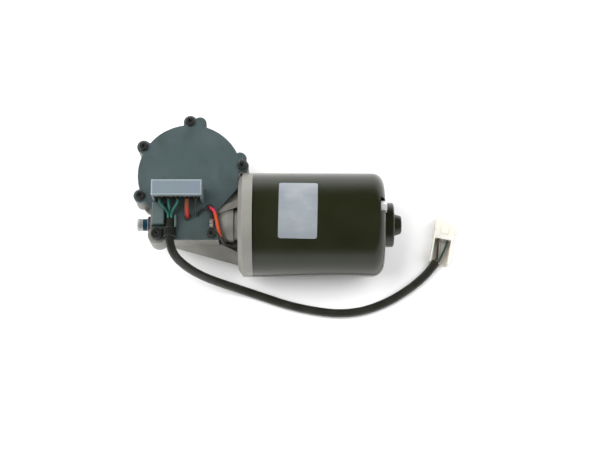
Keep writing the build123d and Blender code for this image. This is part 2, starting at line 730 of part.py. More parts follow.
def contact_springs():
    """Three leaf springs that wipe on the rings of the contact disc."""
    underside = LID_BOTTOM - CARRIER_HEIGHT
    tip_z = WHEEL_TOP + DISC_T + CONTACT_GAP
    with BuildPart() as springs:
        for number, radius in enumerate(CONTACT_RADII):
            y = CARRIER_Y + (number - 1) * CARRIER_L / 3.4
            tip_x = -sqrt(radius**2 - y**2)
            with BuildSketch(Plane.XZ.offset(-y + CONTACT_W / 2)):
                with BuildLine():
                    Polyline(
                        (CARRIER_X - 2, underside),
                        (tip_x - 4, underside),
                        (tip_x, tip_z + 0.3),
                        (tip_x + 1.6, tip_z + 1.1),
                        (tip_x + 1.6, tip_z + 0.8),
                        (tip_x, tip_z),
                        (tip_x - 4.1, underside - 0.3),
                        (CARRIER_X - 2, underside - 0.3),
                        close=True,
                    )
                make_face()
            extrude(amount=-CONTACT_W)
    save(springs, "contact_springs")


# ================================================================ output shaft and worm wheel
def output_shaft():
    """Steel shaft with a circlip groove, a serrated taper and a stud end for the crank's nut."""
    taper_bottom = TAPER_TOP - TAPER_LENGTH
    shaft_r = OUTPUT_D / 2
    stud_r = STUD_D / 2
    groove_r = shaft_r - CLIP_DEPTH
    slope = atan2(shaft_r - TAPER_SMALL_R, TAPER_LENGTH)
    generatrix = (sin(slope), 0, cos(slope))
    with BuildPart() as groove:
        groove_start = (TAPER_SMALL_R + 0.05, 0, taper_bottom)
        with BuildSketch(Plane(origin=groove_start, x_dir=(0, 1, 0), z_dir=generatrix)):
            RegularPolygon(SERRATION_DEPTH, 3, rotation=90)
        extrude(amount=TAPER_LENGTH + 1.0)
    with BuildPart() as shaft:
        with BuildSketch(upright()):
            with BuildLine():
                Polyline(
                    (0, GROUND_Z),
                    (stud_r - 1, GROUND_Z),
                    (stud_r, GROUND_Z + 1),
                    (stud_r, taper_bottom),
                    (TAPER_SMALL_R, taper_bottom),
                    (shaft_r, TAPER_TOP),
                    (shaft_r, CLIP_Z - THRUST_GAP / 2),
                    (groove_r, CLIP_Z - THRUST_GAP / 2),
                    (groove_r, CLIP_Z + CLIP_T + THRUST_GAP / 2),
                    (shaft_r, CLIP_Z + CLIP_T + THRUST_GAP / 2),
                    (shaft_r, HUB_TOP + 0.5),
                    (shaft_r - 1, HUB_TOP + 1.5),
                    (0, HUB_TOP + 1.5),
                    close=True,
                )
            make_face()
        revolve(axis=Axis.Z)
        with PolarLocations(0, SERRATIONS):
            add(groove.part, mode=Mode.SUBTRACT)
    save(shaft, "output_shaft")


def wheel_hub():
    """Brass hub pressed on the shaft, with flats that key it in the moulded wheel."""
    with BuildPart() as hub:
        with BuildSketch(Plane.XY.offset(HUB_BOTTOM)):
            Circle(HUB_R - 2.5)
            Circle(OUTPUT_D / 2 + RUNNING_FIT / 2, mode=Mode.SUBTRACT)
        extrude(amount=HUB_TOP - HUB_BOTTOM)
        with BuildSketch(Plane.XY.offset(WHEEL_BOTTOM + 1)):
            RegularPolygon(HUB_R, 12)
            Circle(OUTPUT_D / 2 + RUNNING_FIT / 2, mode=Mode.SUBTRACT)
        extrude(amount=WHEEL_FACE - 2)
    save(hub, "wheel_hub")


def involute(angle):
    """The involute function of an angle in radians."""
    return tan(angle) - angle


def gap_half_angle(radius):
    """Half the angle of the gap between two wheel teeth at a radius, on the involute with its backlash."""
    base_r = WHEEL_PITCH_R * cos(radians(PRESSURE_ANGLE))
    pressure = acos(base_r / radius)
    tooth = pi / (2 * WHEEL_TEETH) + involute(radians(PRESSURE_ANGLE)) - involute(pressure)
    return pi / WHEEL_TEETH - tooth + BACKLASH / 4 / WHEEL_PITCH_R


def gap_point(radius, side):
    """A point of the gap's flank at a radius, on one side of the +X axis."""
    angle = side * gap_half_angle(radius)
    return (radius * cos(angle), radius * sin(angle))


def worm_wheel():
    """Moulded wheel: right-hand teeth at the worm's lead angle, a top web, ribs below and a hub ring."""
    radii = (WHEEL_ROOT_R, WHEEL_PITCH_R, WHEEL_TIP_R + 0.4)
    rim_r = WHEEL_ROOT_R - WHEEL_RIM_T
    lead = radians(LEAD_ANGLE)
    hub_flat_r = HUB_R + RUNNING_FIT
    with BuildPart() as gap:
        with BuildSketch(Plane.XY.offset(AXIS_Z)):
            with BuildLine():
                Polyline(
                    [gap_point(r, 1) for r in radii] + [gap_point(r, -1) for r in reversed(radii)],
                    close=True,
                )
            make_face()
        extrude(amount=WHEEL_FACE, dir=(0, sin(lead), cos(lead)), both=True)
    with BuildPart() as wheel:
        with BuildSketch(Plane.XY.offset(WHEEL_BOTTOM)):
            Circle(WHEEL_TIP_R)
            Circle(rim_r, mode=Mode.SUBTRACT)
        extrude(amount=WHEEL_FACE)
        with BuildSketch(Plane.XY.offset(WHEEL_TOP)):
            Circle(rim_r + 0.5)
        extrude(amount=-WHEEL_WEB_T)
        with BuildSketch(Plane.XY.offset(WHEEL_BOTTOM)):
            Circle(HUB_R + 3)
        extrude(amount=WHEEL_FACE)
        with BuildSketch(Plane.XY.offset(WHEEL_BOTTOM + 1)):
            with PolarLocations((rim_r + HUB_R) / 2 + 1, WHEEL_RIBS):
                Rectangle(rim_r - HUB_R - 1, WHEEL_RIB_T)
        extrude(amount=WHEEL_FACE - 1)
        with BuildSketch(Plane.XY.offset(HUB_BOTTOM - 1)):
            Circle(HUB_R - 2.5 + RUNNING_FIT)
        extrude(amount=WHEEL_FACE * 2, mode=Mode.SUBTRACT)
        with BuildSketch(Plane.XY.offset(WHEEL_BOTTOM + 1)):
            RegularPolygon(hub_flat_r, 12)
        extrude(amount=WHEEL_FACE - 2, mode=Mode.SUBTRACT)
        with PolarLocations(0, WHEEL_TEETH, start_angle=-90):
            add(gap.part, mode=Mode.SUBTRACT)
    save(wheel, "worm_wheel")


def contact_disc():
    """Copper disc on the wheel with the park segment cut out of its outer track."""
    with BuildPart() as disc:
        with BuildSketch(Plane.XY.offset(WHEEL_TOP)):
            Circle(DISC_OUTER_R)
            Circle(DISC_INNER_R, mode=Mode.SUBTRACT)
            with PolarLocations((CONTACT_RADII[2] + DISC_OUTER_R) / 2, 1, start_angle=PARK_ANGLE):
                Rectangle(DISC_OUTER_R - CONTACT_RADII[1] - 1.6, PARK_LENGTH, mode=Mode.SUBTRACT)
        extrude(amount=DISC_T)
    save(disc, "contact_disc")


def thrust_washers():
    """Steel washers at both ends of the output bearing."""
    with BuildPart() as washers:
        for bottom in (OUTPUT_BOSS_TOP + THRUST_GAP, CLIP_Z + CLIP_T + THRUST_GAP / 2):
            with BuildSketch(Plane.XY.offset(bottom)):
                Circle(OUTPUT_BOSS_R - 3)
                Circle(OUTPUT_D / 2 + RUNNING_FIT, mode=Mode.SUBTRACT)
            extrude(amount=THRUST_WASHER_T)
    save(washers, "thrust_washers")


def circlip():
    """Spring ring in the shaft's groove, open on one side, with its two eyes."""
    bore_r = OUTPUT_D / 2 - CLIP_DEPTH + RUNNING_FIT
    with BuildPart() as clip:
        with BuildSketch(Plane.XY.offset(CLIP_Z)):
            Circle(bore_r + 2.2)
            with Locations((bore_r + 2.4, 2.4), (bore_r + 2.4, -2.4)):
                Circle(1.7)
            Circle(bore_r, mode=Mode.SUBTRACT)
            with Locations((bore_r + 2, 0)):
                Rectangle(6.4, 2.2, mode=Mode.SUBTRACT)
            with Locations((bore_r + 2.6, 2.6), (bore_r + 2.6, -2.6)):
                Circle(0.7, mode=Mode.SUBTRACT)
        extrude(amount=CLIP_T)
    save(clip, "circlip")


def output_bushes():
    """Two sintered bushes in the output boss."""
    length = (OUTPUT_BOSS_TOP - OUTPUT_BOSS_BOTTOM - SEAL_LENGTH) / 2
    for label, bottom in (
        ("output_bush_lower", OUTPUT_BOSS_BOTTOM + SEAL_LENGTH),
        ("output_bush_upper", OUTPUT_BOSS_TOP - length + 0.4),
    ):
        with BuildPart() as bush:
            with BuildSketch(Plane.XY.offset(bottom)):
                Circle(OUTPUT_D / 2 + OUTPUT_BUSH_WALL - RUNNING_FIT / 2)
                Circle(OUTPUT_D / 2 + RUNNING_FIT, mode=Mode.SUBTRACT)
            extrude(amount=length - 0.4)
        save(bush, label)


def shaft_seal():
    """Rubber seal round the output shaft."""
    with BuildPart() as seal:
        with BuildSketch(Plane.XY.offset(OUTPUT_BOSS_BOTTOM)):
            Circle(SEAL_R - RUNNING_FIT)
            Circle(OUTPUT_D / 2 + RUNNING_FIT, mode=Mode.SUBTRACT)
        extrude(amount=SEAL_LENGTH - 0.1)
        with BuildSketch(Plane.XY.offset(OUTPUT_BOSS_BOTTOM)):
            Circle(SEAL_R - 1.2)
            Circle(OUTPUT_D / 2 + 1.0, mode=Mode.SUBTRACT)
        extrude(amount=1.2, mode=Mode.SUBTRACT)
    save(seal, "shaft_seal")


# ================================================================ thrust end of the worm
def adjusting_screw():
    """Threaded pin that takes up the worm's end play, with a screwdriver slot and a cup for the ball."""
    with BuildPart() as screw:
        with BuildSketch(across(ADJUSTER_TIP)):
            Circle(ADJUSTER_D / 2)
        extrude(amount=THRUST_BALL_X - 1.0 - ADJUSTER_TIP)
        chamfer(screw.faces().sort_by(Axis.X)[0].edges(), 0.8)
        with BuildSketch(across(ADJUSTER_TIP)):
            Rectangle(ADJUSTER_D + 1, 1.6)
        extrude(amount=2.0, mode=Mode.SUBTRACT)
        with Locations((THRUST_BALL_X, MOTOR_Y, AXIS_Z)):
            Sphere(THRUST_BALL_D / 2 + RUNNING_FIT / 2, mode=Mode.SUBTRACT)
    save(screw, "adjusting_screw")


def lock_nut():
    """Round nut with four slots that locks the adjusting screw against the casting."""
    with BuildPart() as nut:
        with BuildSketch(across(BLOCK_LEFT - LOCK_NUT_T)):
            Circle(LOCK_NUT_R)
            Circle(ADJUSTER_D / 2 + RUNNING_FIT / 2, mode=Mode.SUBTRACT)
        extrude(amount=LOCK_NUT_T)
        chamfer(nut.faces().sort_by(Axis.X)[0].outer_wire().edges(), 0.6)
        with BuildSketch(across(BLOCK_LEFT - LOCK_NUT_T)):
            with PolarLocations(LOCK_NUT_R, 4, start_angle=45):
                Rectangle(1.8, 2.4)
        extrude(amount=LOCK_NUT_T / 2, mode=Mode.SUBTRACT)
    save(nut, "lock_nut")


def thrust_ball():
    """Steel ball between the adjusting screw and the shaft's end."""
    with BuildPart() as ball:
        with Locations((THRUST_BALL_X, MOTOR_Y, AXIS_Z)):
            Sphere(THRUST_BALL_D / 2)
    save(ball, "thrust_ball")


def front_bush():
    """Sintered bush for the worm's end journal."""
    with BuildPart() as bush:
        with BuildSketch(across(FRONT_BUSH_START + 0.05)):
            Circle(JOURNAL_D / 2 + BUSH_WALL - RUNNING_FIT / 2)
            Circle(JOURNAL_D / 2 + RUNNING_FIT, mode=Mode.SUBTRACT)
        extrude(amount=FRONT_BUSH_LENGTH - 0.1)
    save(bush, "front_bush")


# ================================================================ armature
def armature_shaft():
    """Steel shaft that carries the core and ends in the single-start worm."""
    worm_end = WORM_START + WORM_LENGTH
    half_thread = WORM_LEAD / 4 - BACKLASH / 4
    flank = tan(radians(PRESSURE_ANGLE))
    pitch_r = WORM_PITCH_D / 2
    sunk_r = WORM_ROOT_R - 0.4
    wide = half_thread + (pitch_r - sunk_r) * flank
    narrow = half_thread - MODULE * flank
    shaft_front = THRUST_BALL_X + THRUST_BALL_D / 2 + THRUST_GAP
    with BuildPart() as shaft:
        with BuildSketch(along()):
            with BuildLine():
                Polyline(
                    (shaft_front, 0),
                    (shaft_front, JOURNAL_D / 2 - 0.5),
                    (shaft_front + 0.5, JOURNAL_D / 2),
                    (FRONT_BUSH_START + FRONT_BUSH_LENGTH + 0.3, JOURNAL_D / 2),
                    (FRONT_BUSH_START + FRONT_BUSH_LENGTH + 0.8, WORM_ROOT_R),
                    (worm_end + 2, WORM_ROOT_R),
                    (worm_end + 2.4, BEARING_SEAT_D / 2),
                    (BEARING_START + BEARING_W + 1, BEARING_SEAT_D / 2),
                    (BEARING_START + BEARING_W + 1, SHAFT_D / 2),
                    (REAR_JOURNAL_START, SHAFT_D / 2),
                    (REAR_JOURNAL_START, JOURNAL_D / 2),
                    (SHAFT_END - 1, JOURNAL_D / 2),
                    (SHAFT_END, JOURNAL_D / 2 - 1),
                    (SHAFT_END, 0),
                    close=True,
                )
            make_face()
        revolve(axis=MOTOR_AXIS)
        # right-hand thread; it starts above the axis and its ridge faces the wheel at x = 0
        with BuildLine() as helix:
            Helix(
                pitch=WORM_LEAD,
                height=WORM_LENGTH,
                radius=pitch_r,
                center=(WORM_START, MOTOR_Y, AXIS_Z),
                direction=(1, 0, 0),
            )
        with BuildSketch(Plane(origin=(WORM_START, MOTOR_Y, AXIS_Z), x_dir=(1, 0, 0), z_dir=(0, -1, 0))):
            with BuildLine():
                Polyline(
                    (-wide, sunk_r),
                    (-narrow, WORM_TIP_R),
                    (narrow, WORM_TIP_R),
                    (wide, sunk_r),
                    close=True,
                )
            make_face()
        sweep(path=helix.wire(), is_frenet=True)
    save(shaft, "armature_shaft")


def slotted_ring(outer_r, inner_r, slots, slot_w, slot_depth):
    """A ring with straight slots cut in from its rim."""
    with BuildSketch() as ring:
        Circle(outer_r)
        with PolarLocations(outer_r - slot_depth / 2 + 0.5, slots):
            Rectangle(slot_depth + 1, slot_w, mode=Mode.SUBTRACT)
        Circle(inner_r, mode=Mode.SUBTRACT)
    return ring.sketch


def armature_core():
    """Lamination stack with closed-in slots for the windings."""
    core_r = CORE_D / 2
    with BuildPart() as core:
        with BuildSketch(across(CORE_START)):
            add(slotted_ring(core_r, SHAFT_D / 2 + RUNNING_FIT / 2, CORE_SLOTS, SLOT_MOUTH, SLOT_DEPTH))
            with PolarLocations(core_r - CORE_TOOTH_TIP - SLOT_DEPTH / 2 + 0.5, CORE_SLOTS):
                Rectangle(SLOT_DEPTH - 1, SLOT_W, mode=Mode.SUBTRACT)
        extrude(amount=CORE_LENGTH)
    save(core, "armature_core")


def armature_windings():
    """Copper windings: the filled slots and the wound heads at both ends of the core."""
    core_r = CORE_D / 2
    head_r = core_r - CORE_TOOTH_TIP - 1.2
    with BuildPart() as windings:
        with BuildSketch(across(CORE_START - 0.5)):
            with PolarLocations(core_r - CORE_TOOTH_TIP - SLOT_DEPTH / 2 + 0.5, CORE_SLOTS):
                Rectangle(SLOT_DEPTH - 1.4, SLOT_W - 0.4)
        extrude(amount=CORE_LENGTH + 1.0)
        for start in (CORE_START - HEAD_LENGTH - 0.2, CORE_START + CORE_LENGTH + 0.2):
            with BuildSketch(along()):
                with Locations((start + HEAD_LENGTH / 2, (head_r + SHAFT_D / 2 + 1) / 2)):
                    RectangleRounded(HEAD_LENGTH, head_r - SHAFT_D / 2 - 1, 3)
            revolve(axis=MOTOR_AXIS)
    save(windings, "armature_windings")


def commutator():
    """Copper bars of the commutator round their moulded sleeve."""
    bar_r = COMMUTATOR_D / 2
    with BuildPart() as bars:
        with BuildSketch(across(COMMUTATOR_START)):
            add(slotted_ring(bar_r, bar_r - 3.5, COMMUTATOR_BARS, 0.6, 1.2))
        extrude(amount=COMMUTATOR_LENGTH)
    save(bars, "commutator_bars")
    with BuildPart() as sleeve:
        with BuildSketch(across(COMMUTATOR_START - 1)):
            Circle(bar_r - 3.5)
            Circle(SHAFT_D / 2 + RUNNING_FIT / 2, mode=Mode.SUBTRACT)
        extrude(amount=COMMUTATOR_LENGTH + 2)
    save(sleeve, "commutator_sleeve")


def bearing():
    """Ball bearing on the shaft behind the worm: inner ring, outer ring and balls."""
    ball_pitch_r = (BEARING_SEAT_D / 2 + BEARING_D / 2) / 2
    ball_r = BEARING_BALL_D / 2
    middle = BEARING_START + BEARING_W / 2
    rings = (
        ("bearing_inner_ring", BEARING_SEAT_D / 2 + RUNNING_FIT / 2, ball_pitch_r - ball_r * 0.75),
        ("bearing_outer_ring", ball_pitch_r + ball_r * 0.75, BEARING_D / 2 - RUNNING_FIT / 2),
    )
    for label, inner_r, outer_r in rings:
        with BuildPart() as ring:
            with BuildSketch(across(BEARING_START)):
                Circle(outer_r)
                Circle(inner_r, mode=Mode.SUBTRACT)
            extrude(amount=BEARING_W)
            with BuildSketch(along()):
                with Locations((middle, ball_pitch_r)):
                    Circle(ball_r + RUNNING_FIT)
            revolve(axis=MOTOR_AXIS, mode=Mode.SUBTRACT)
        save(ring, label)
    with BuildPart() as balls:
        with Locations(across(middle)):
            with PolarLocations(ball_pitch_r, BEARING_BALLS):
                Sphere(ball_r)
    save(balls, "bearing_balls")


def bearing_retainer():
    """Spring ring that holds the ball bearing in its housing."""
    with BuildPart() as retainer:
        with BuildSketch(across(BEARING_START + BEARING_W + 0.05)):
            Circle(BEARING_D / 2 - RUNNING_FIT / 2)
            Circle(BEARING_D / 2 - 2.2, mode=Mode.SUBTRACT)
        extrude(amount=1.2)
    save(retainer, "bearing_retainer")


# ================================================================ motor case
def pole_housing():
    """Deep-drawn steel can with a stepped end for the rear bearing and pockets for the tie bolts' heads."""
    boss_r = END_BOSS_D / 2
    nub_r = END_NUB_D / 2
    nub_tip_r = END_NUB_TIP_D / 2
    seat_x = CAN_END - HEAD_RECESS
    with BuildPart() as can:
        with BuildSketch(along()):
            with BuildLine():
                Polyline((CAN_START, CAN_BORE_R), (CAN_START, CAN_R), (CAN_END - CAN_CORNER_R, CAN_R))
                RadiusArc((CAN_END - CAN_CORNER_R, CAN_R), (CAN_END, CAN_R - CAN_CORNER_R), CAN_CORNER_R)
                Polyline(
                    (CAN_END, CAN_R - CAN_CORNER_R),
                    (CAN_END, boss_r),
                    (BOSS_END, boss_r),
                    (BOSS_END, nub_r),
                    (NUB_END, nub_tip_r),
                    (NUB_END, 0),
                    (NUB_END - CAN_WALL, 0),
                    (NUB_END - CAN_WALL, nub_tip_r - CAN_WALL + 0.6),
                    (BOSS_END - CAN_WALL, nub_r - CAN_WALL),
                    (BOSS_END - CAN_WALL, boss_r - CAN_WALL),
                    (CAN_END - CAN_WALL, boss_r - CAN_WALL),
                    (CAN_END - CAN_WALL, CAN_R - CAN_CORNER_R),
                )
                RadiusArc(
                    (CAN_END - CAN_WALL, CAN_R - CAN_CORNER_R),
                    (CAN_END - CAN_CORNER_R, CAN_BORE_R),
                    -(CAN_CORNER_R - CAN_WALL),
                )
                Line((CAN_END - CAN_CORNER_R, CAN_BORE_R), (CAN_START, CAN_BORE_R))
            make_face()
        revolve(axis=MOTOR_AXIS)
        circles = can.edges().filter_by(GeomType.CIRCLE)
        rims = circles.filter_by_position(Axis.X, BOSS_END - 0.1, NUB_END + 0.1)
        fillet(rims.filter_by(lambda rim: rim.radius > boss_r - 1 or rim.center().X > NUB_END - 1), 2.0)
        with BuildSketch(across(seat_x - CAN_WALL)):
            with PolarLocations(TIE_BOLT_PITCH_R, 2, start_angle=90 - TIE_BOLT_TURN):
                Circle(HEAD_POCKET_R + 1.2)
        extrude(amount=HEAD_RECESS + 0.5)
        with BuildSketch(across(seat_x)):
            with PolarLocations(TIE_BOLT_PITCH_R, 2, start_angle=90 - TIE_BOLT_TURN):
                Circle(HEAD_POCKET_R)
            with PolarLocations(TIE_BOLT_PITCH_R + HEAD_POCKET_R, 2, start_angle=90 - TIE_BOLT_TURN):
                Rectangle(2 * HEAD_POCKET_R, 2 * HEAD_POCKET_R)
        extrude(amount=HEAD_RECESS + 1, mode=Mode.SUBTRACT)
        with BuildSketch(across(seat_x - CAN_WALL - 1)):
            with PolarLocations(TIE_BOLT_PITCH_R, 2, start_angle=90 - TIE_BOLT_TURN):
                Circle(TIE_BOLT_D / 2 + SLIP_FIT)
        extrude(amount=CAN_WALL + 2, mode=Mode.SUBTRACT)
    save(can, "pole_housing")


def tie_bolts():
    """Two long bolts through the can into the end shield, each with a washer face under its hexagon head."""
    seat_x = CAN_END - HEAD_RECESS
    with BuildPart() as bolts:
        with BuildSketch(across(SHIELD_START + 3)):
            with PolarLocations(TIE_BOLT_PITCH_R, 2, start_angle=90 - TIE_BOLT_TURN):
                Circle(TIE_BOLT_D / 2)
        extrude(amount=seat_x - SHIELD_START - 3)
        with BuildSketch(across(seat_x)):
            with PolarLocations(TIE_BOLT_PITCH_R, 2, start_angle=90 - TIE_BOLT_TURN):
                Circle(BOLT_AF / 2 + 0.8)
        extrude(amount=1.0)
        with BuildSketch(across(seat_x + 1.0)):
            with PolarLocations(TIE_BOLT_PITCH_R, 2, start_angle=90 - TIE_BOLT_TURN):
                RegularPolygon(BOLT_AF / 2, 6, major_radius=False)
        extrude(amount=4.0)
    save(bolts, "tie_bolts")


def magnets():
    """Two ferrite shells bonded in the can, with the tie bolts running in the gaps between them."""
    outer_r = CAN_BORE_R - MAGNET_GLUE
    inner_r = outer_r - MAGNET_T
    half = MAGNET_ARC / 2
    with BuildPart() as shells:
        for middle in (180 - TIE_BOLT_TURN, -TIE_BOLT_TURN):
            outer = [polar(outer_r, middle + turn) for turn in (-half, 0, half)]
            inner = [polar(inner_r, middle + turn) for turn in (half, 0, -half)]
            with BuildSketch(across(CORE_START - 4)):
                with BuildLine():
                    ThreePointArc(*outer)
                    Line(outer[-1], inner[0])
                    ThreePointArc(*inner)
                    Line(inner[-1], outer[0])
                make_face()
            extrude(amount=CORE_LENGTH + 8)
    save(shells, "magnets")


def rear_bush():
    """Self-aligning sintered bush in the can's stepped end, and the ring that holds it there."""
    bush_r = END_BOSS_D / 2 - CAN_WALL - RUNNING_FIT / 2
    with BuildPart() as bush:
        with BuildSketch(along()):
            with BuildLine():
                Polyline((REAR_BUSH_START, JOURNAL_D / 2 + RUNNING_FIT), (REAR_BUSH_START, bush_r - 3))
                ThreePointArc(
                    (REAR_BUSH_START, bush_r - 3),
                    (REAR_BUSH_START + REAR_BUSH_LENGTH / 2, bush_r),
                    (REAR_BUSH_START + REAR_BUSH_LENGTH, bush_r - 3),
                )
                Polyline(
                    (REAR_BUSH_START + REAR_BUSH_LENGTH, bush_r - 3),
                    (REAR_BUSH_START + REAR_BUSH_LENGTH, JOURNAL_D / 2 + RUNNING_FIT),
                    (REAR_BUSH_START, JOURNAL_D / 2 + RUNNING_FIT),
                )
            make_face()
        revolve(axis=MOTOR_AXIS)
    save(bush, "rear_bush")
    with BuildPart() as ring:
        with BuildSketch(across(REAR_BUSH_START - 0.9)):
            Circle(bush_r)
            Circle(bush_r - 4.5, mode=Mode.SUBTRACT)
        extrude(amount=0.8)
    save(ring, "rear_bush_retainer")


# ================================================================ brush gear
def radial(angle, radius):
    """The plane across a brush: local x is along the motor, its normal points outwards at this angle."""
    y, z = polar(1, angle)
    return Plane(
        origin=(BRUSH_X, MOTOR_Y + radius * y, AXIS_Z + radius * z),
        x_dir=(1, 0, 0),
        z_dir=(0, y, z),
    )


def brush_plate():
    """Insulating plate on the end shield's floor, notched for the tie bolts' bosses."""
    with BuildPart() as plate:
        with BuildSketch(across(SHIELD_START + SHIELD_WALL + 0.05)):
            Circle(SHIELD_BORE_R - SLIP_FIT)
            Circle(COMMUTATOR_D / 2 + 2, mode=Mode.SUBTRACT)
            with PolarLocations(TIE_BOLT_PITCH_R + 1.0, 2, start_angle=90 - TIE_BOLT_TURN):
                Rectangle(BOLT_BOSS_DEPTH + 0.6, BOLT_BOSS_W + 0.6, mode=Mode.SUBTRACT)
            with Locations(GROMMET_AT):
                Circle(LEAD_GROMMET_R + 2 * SLIP_FIT, mode=Mode.SUBTRACT)
        extrude(amount=BRUSH_PLATE_T)
    save(plate, "brush_plate")


def brush_holders():
    """Three brass boxes that guide the brushes, on feet that stand on the brush plate."""
    foot_start = SHIELD_START + SHIELD_WALL + 0.05 + BRUSH_PLATE_T
    box_w = BRUSH_AXIAL + 2 * HOLDER_WALL + 2 * SLIP_FIT
    box_t = BRUSH_WIDTH + 2 * HOLDER_WALL + 2 * SLIP_FIT
    length = HOLDER_OUTER_R - HOLDER_INNER_R
    with BuildPart() as holders:
        for angle in BRUSH_ANGLES:
            with BuildSketch(radial(angle, HOLDER_INNER_R)):
                Rectangle(box_w, box_t)
            extrude(amount=length)
            with BuildSketch(radial(angle, HOLDER_INNER_R + 1)):
                with Locations((foot_start - BRUSH_X + (BRUSH_X - foot_start) / 2, 0)):
                    Rectangle(BRUSH_X - foot_start, box_t)
            extrude(amount=length - 2)
            with BuildSketch(radial(angle, HOLDER_INNER_R - 1)):
                Rectangle(BRUSH_AXIAL + 2 * SLIP_FIT, BRUSH_WIDTH + 2 * SLIP_FIT)
            extrude(amount=length + 1 - HOLDER_WALL, mode=Mode.SUBTRACT)
    save(holders, "brush_holders")


def brushes():
    """Carbon brushes with a face ground to the commutator, and the coil springs behind them."""
    for number, angle in enumerate(BRUSH_ANGLES, start=1):
        with BuildPart() as brush:
            with BuildSketch(radial(angle, BRUSH_FACE_R - 1)):
                Rectangle(BRUSH_AXIAL, BRUSH_WIDTH)
            extrude(amount=BRUSH_LENGTH + 1)
            with BuildSketch(across(BRUSH_X - BRUSH_AXIAL)):
                Circle(BRUSH_FACE_R)
            extrude(amount=2 * BRUSH_AXIAL, mode=Mode.SUBTRACT)
        save(brush, f"carbon_brush_{number}")
        seat = radial(angle, BRUSH_FACE_R + BRUSH_LENGTH + SPRING_WIRE / 2 + 0.1)
        height = BRUSH_SPRING_ROOM - SPRING_WIRE - 0.2
        with BuildPart() as spring:
            with BuildLine() as coil:
                Helix(
                    pitch=height / SPRING_TURNS,
                    height=height,
                    radius=SPRING_R,
                    center=seat.origin,
                    direction=seat.z_dir,
                )
            start = coil.line @ 0
            with BuildSketch(Plane(origin=start, x_dir=start - seat.origin, z_dir=coil.line % 0)):
                Rectangle(SPRING_WIRE, SPRING_WIRE)
            sweep(path=coil.wire(), is_frenet=True)
        save(spring, f"brush_spring_{number}")


# ================================================================ leads and cable
def bend_radii(points):
    """One radius for each corner of a route: its arc takes 0.45 of the shorter run beside it."""
    radii = []
    for before, corner, after in zip(points, points[1:], points[2:]):
        run_in = Vector(corner) - Vector(before)
        run_out = Vector(after) - Vector(corner)
        half_turn = radians(run_in.get_angle(run_out)) / 2
        radii.append(0.45 * min(run_in.length, run_out.length) / tan(half_turn))
    return radii


def wire(points, diameter):
    """A round wire along straight runs joined by tangent arcs."""
    with BuildPart() as strand:
        with BuildLine() as route:
            FilletPolyline(*points, radius=bend_radii(points))
        with BuildSketch(Plane(origin=route.line @ 0, z_dir=route.line % 0)):
            Circle(diameter / 2)
        sweep(path=route.wire())
    return strand.part


def blade_tip(number):
    """The end of a flat terminal, where its lead starts."""
    return (blade_x(number), HOOD_BACK - HOOD_WALL - 0.2 - BLADE_L, BLADE_Z)


def green_leads():
    """Three leads from the terminals into the cable's sheath."""
    sheath_z = LID_TOP + CABLE_D / 2 + CABLE_REST
    ends = ((-1.3, 1.2), (0.0, -1.3), (1.3, 1.2))
    with BuildPart() as leads:
        for number, (dx, dz) in enumerate(ends):
            x, y, z = blade_tip(number)
            end_x = CABLE_X + dx
            end_z = sheath_z + dz
            points = [
                (x, y, z),
                (x, y - 3.6, z),
                (x + (end_x - x) * 0.7, y - 8.6, end_z + (z - end_z) * 0.4),
                (end_x, CABLE_START_Y + 3.6, end_z),
                (end_x, CABLE_START_Y + LEAD_GAP, end_z),
            ]
            add(wire(points, LEAD_D))
    save(leads, "green_leads")


def red_sleeve_lead():
    """Sleeved lead from a terminal down through the lid to the park switch."""
    x, y, z = blade_tip(3)
    hole_x, hole_y = PARK_LEAD_HOLE
    path = [
        (x, y, z),
        (x, y - 3.4, z),
        (hole_x, hole_y + 3.2, z - 3.0),
        (hole_x, hole_y, LID_TOP + 5.0),
        (hole_x, hole_y, LID_TOP),
    ]
    with BuildPart() as lead:
        add(wire(path, LEAD_D))
        with BuildSketch(Plane.XY.offset(LID_TOP + 0.5)):
            with Locations(PARK_LEAD_HOLE):
                Circle(LEAD_D / 2)
        extrude(amount=-LID_T - 2.5)
        sleeve = [(x, y - 1.2, z)] + path[1:]
        add(wire(sleeve, SLEEVE_D))
    save(lead, "red_sleeve_lead")


def black_lead():
    """Earth lead from a terminal to the tag under the right apron screw."""
    x, y, z = blade_tip(4)
    low = LID_TOP + LEAD_D / 2 + CABLE_REST
    points = [
        (x, y, z),
        (x, y - 4.2, z),
        (x - 0.8, y - 9.8, z - 5.0),
        (x - 0.5, y - 12.6, low + 2.2),
        (x + 1.6, y - 10.4, low),
        (x + 5.0, y - 6.9, low),
        (x + 8.4, y - 6.2, low),
        (TAG_X, TAG_LEAD_Y + 4.4, LID_TOP + TAG_BARREL_R),
        (TAG_X, TAG_LEAD_Y, LID_TOP + TAG_BARREL_R),
    ]
    with BuildPart() as lead:
        add(wire(points, LEAD_D))
    save(lead, "black_lead")


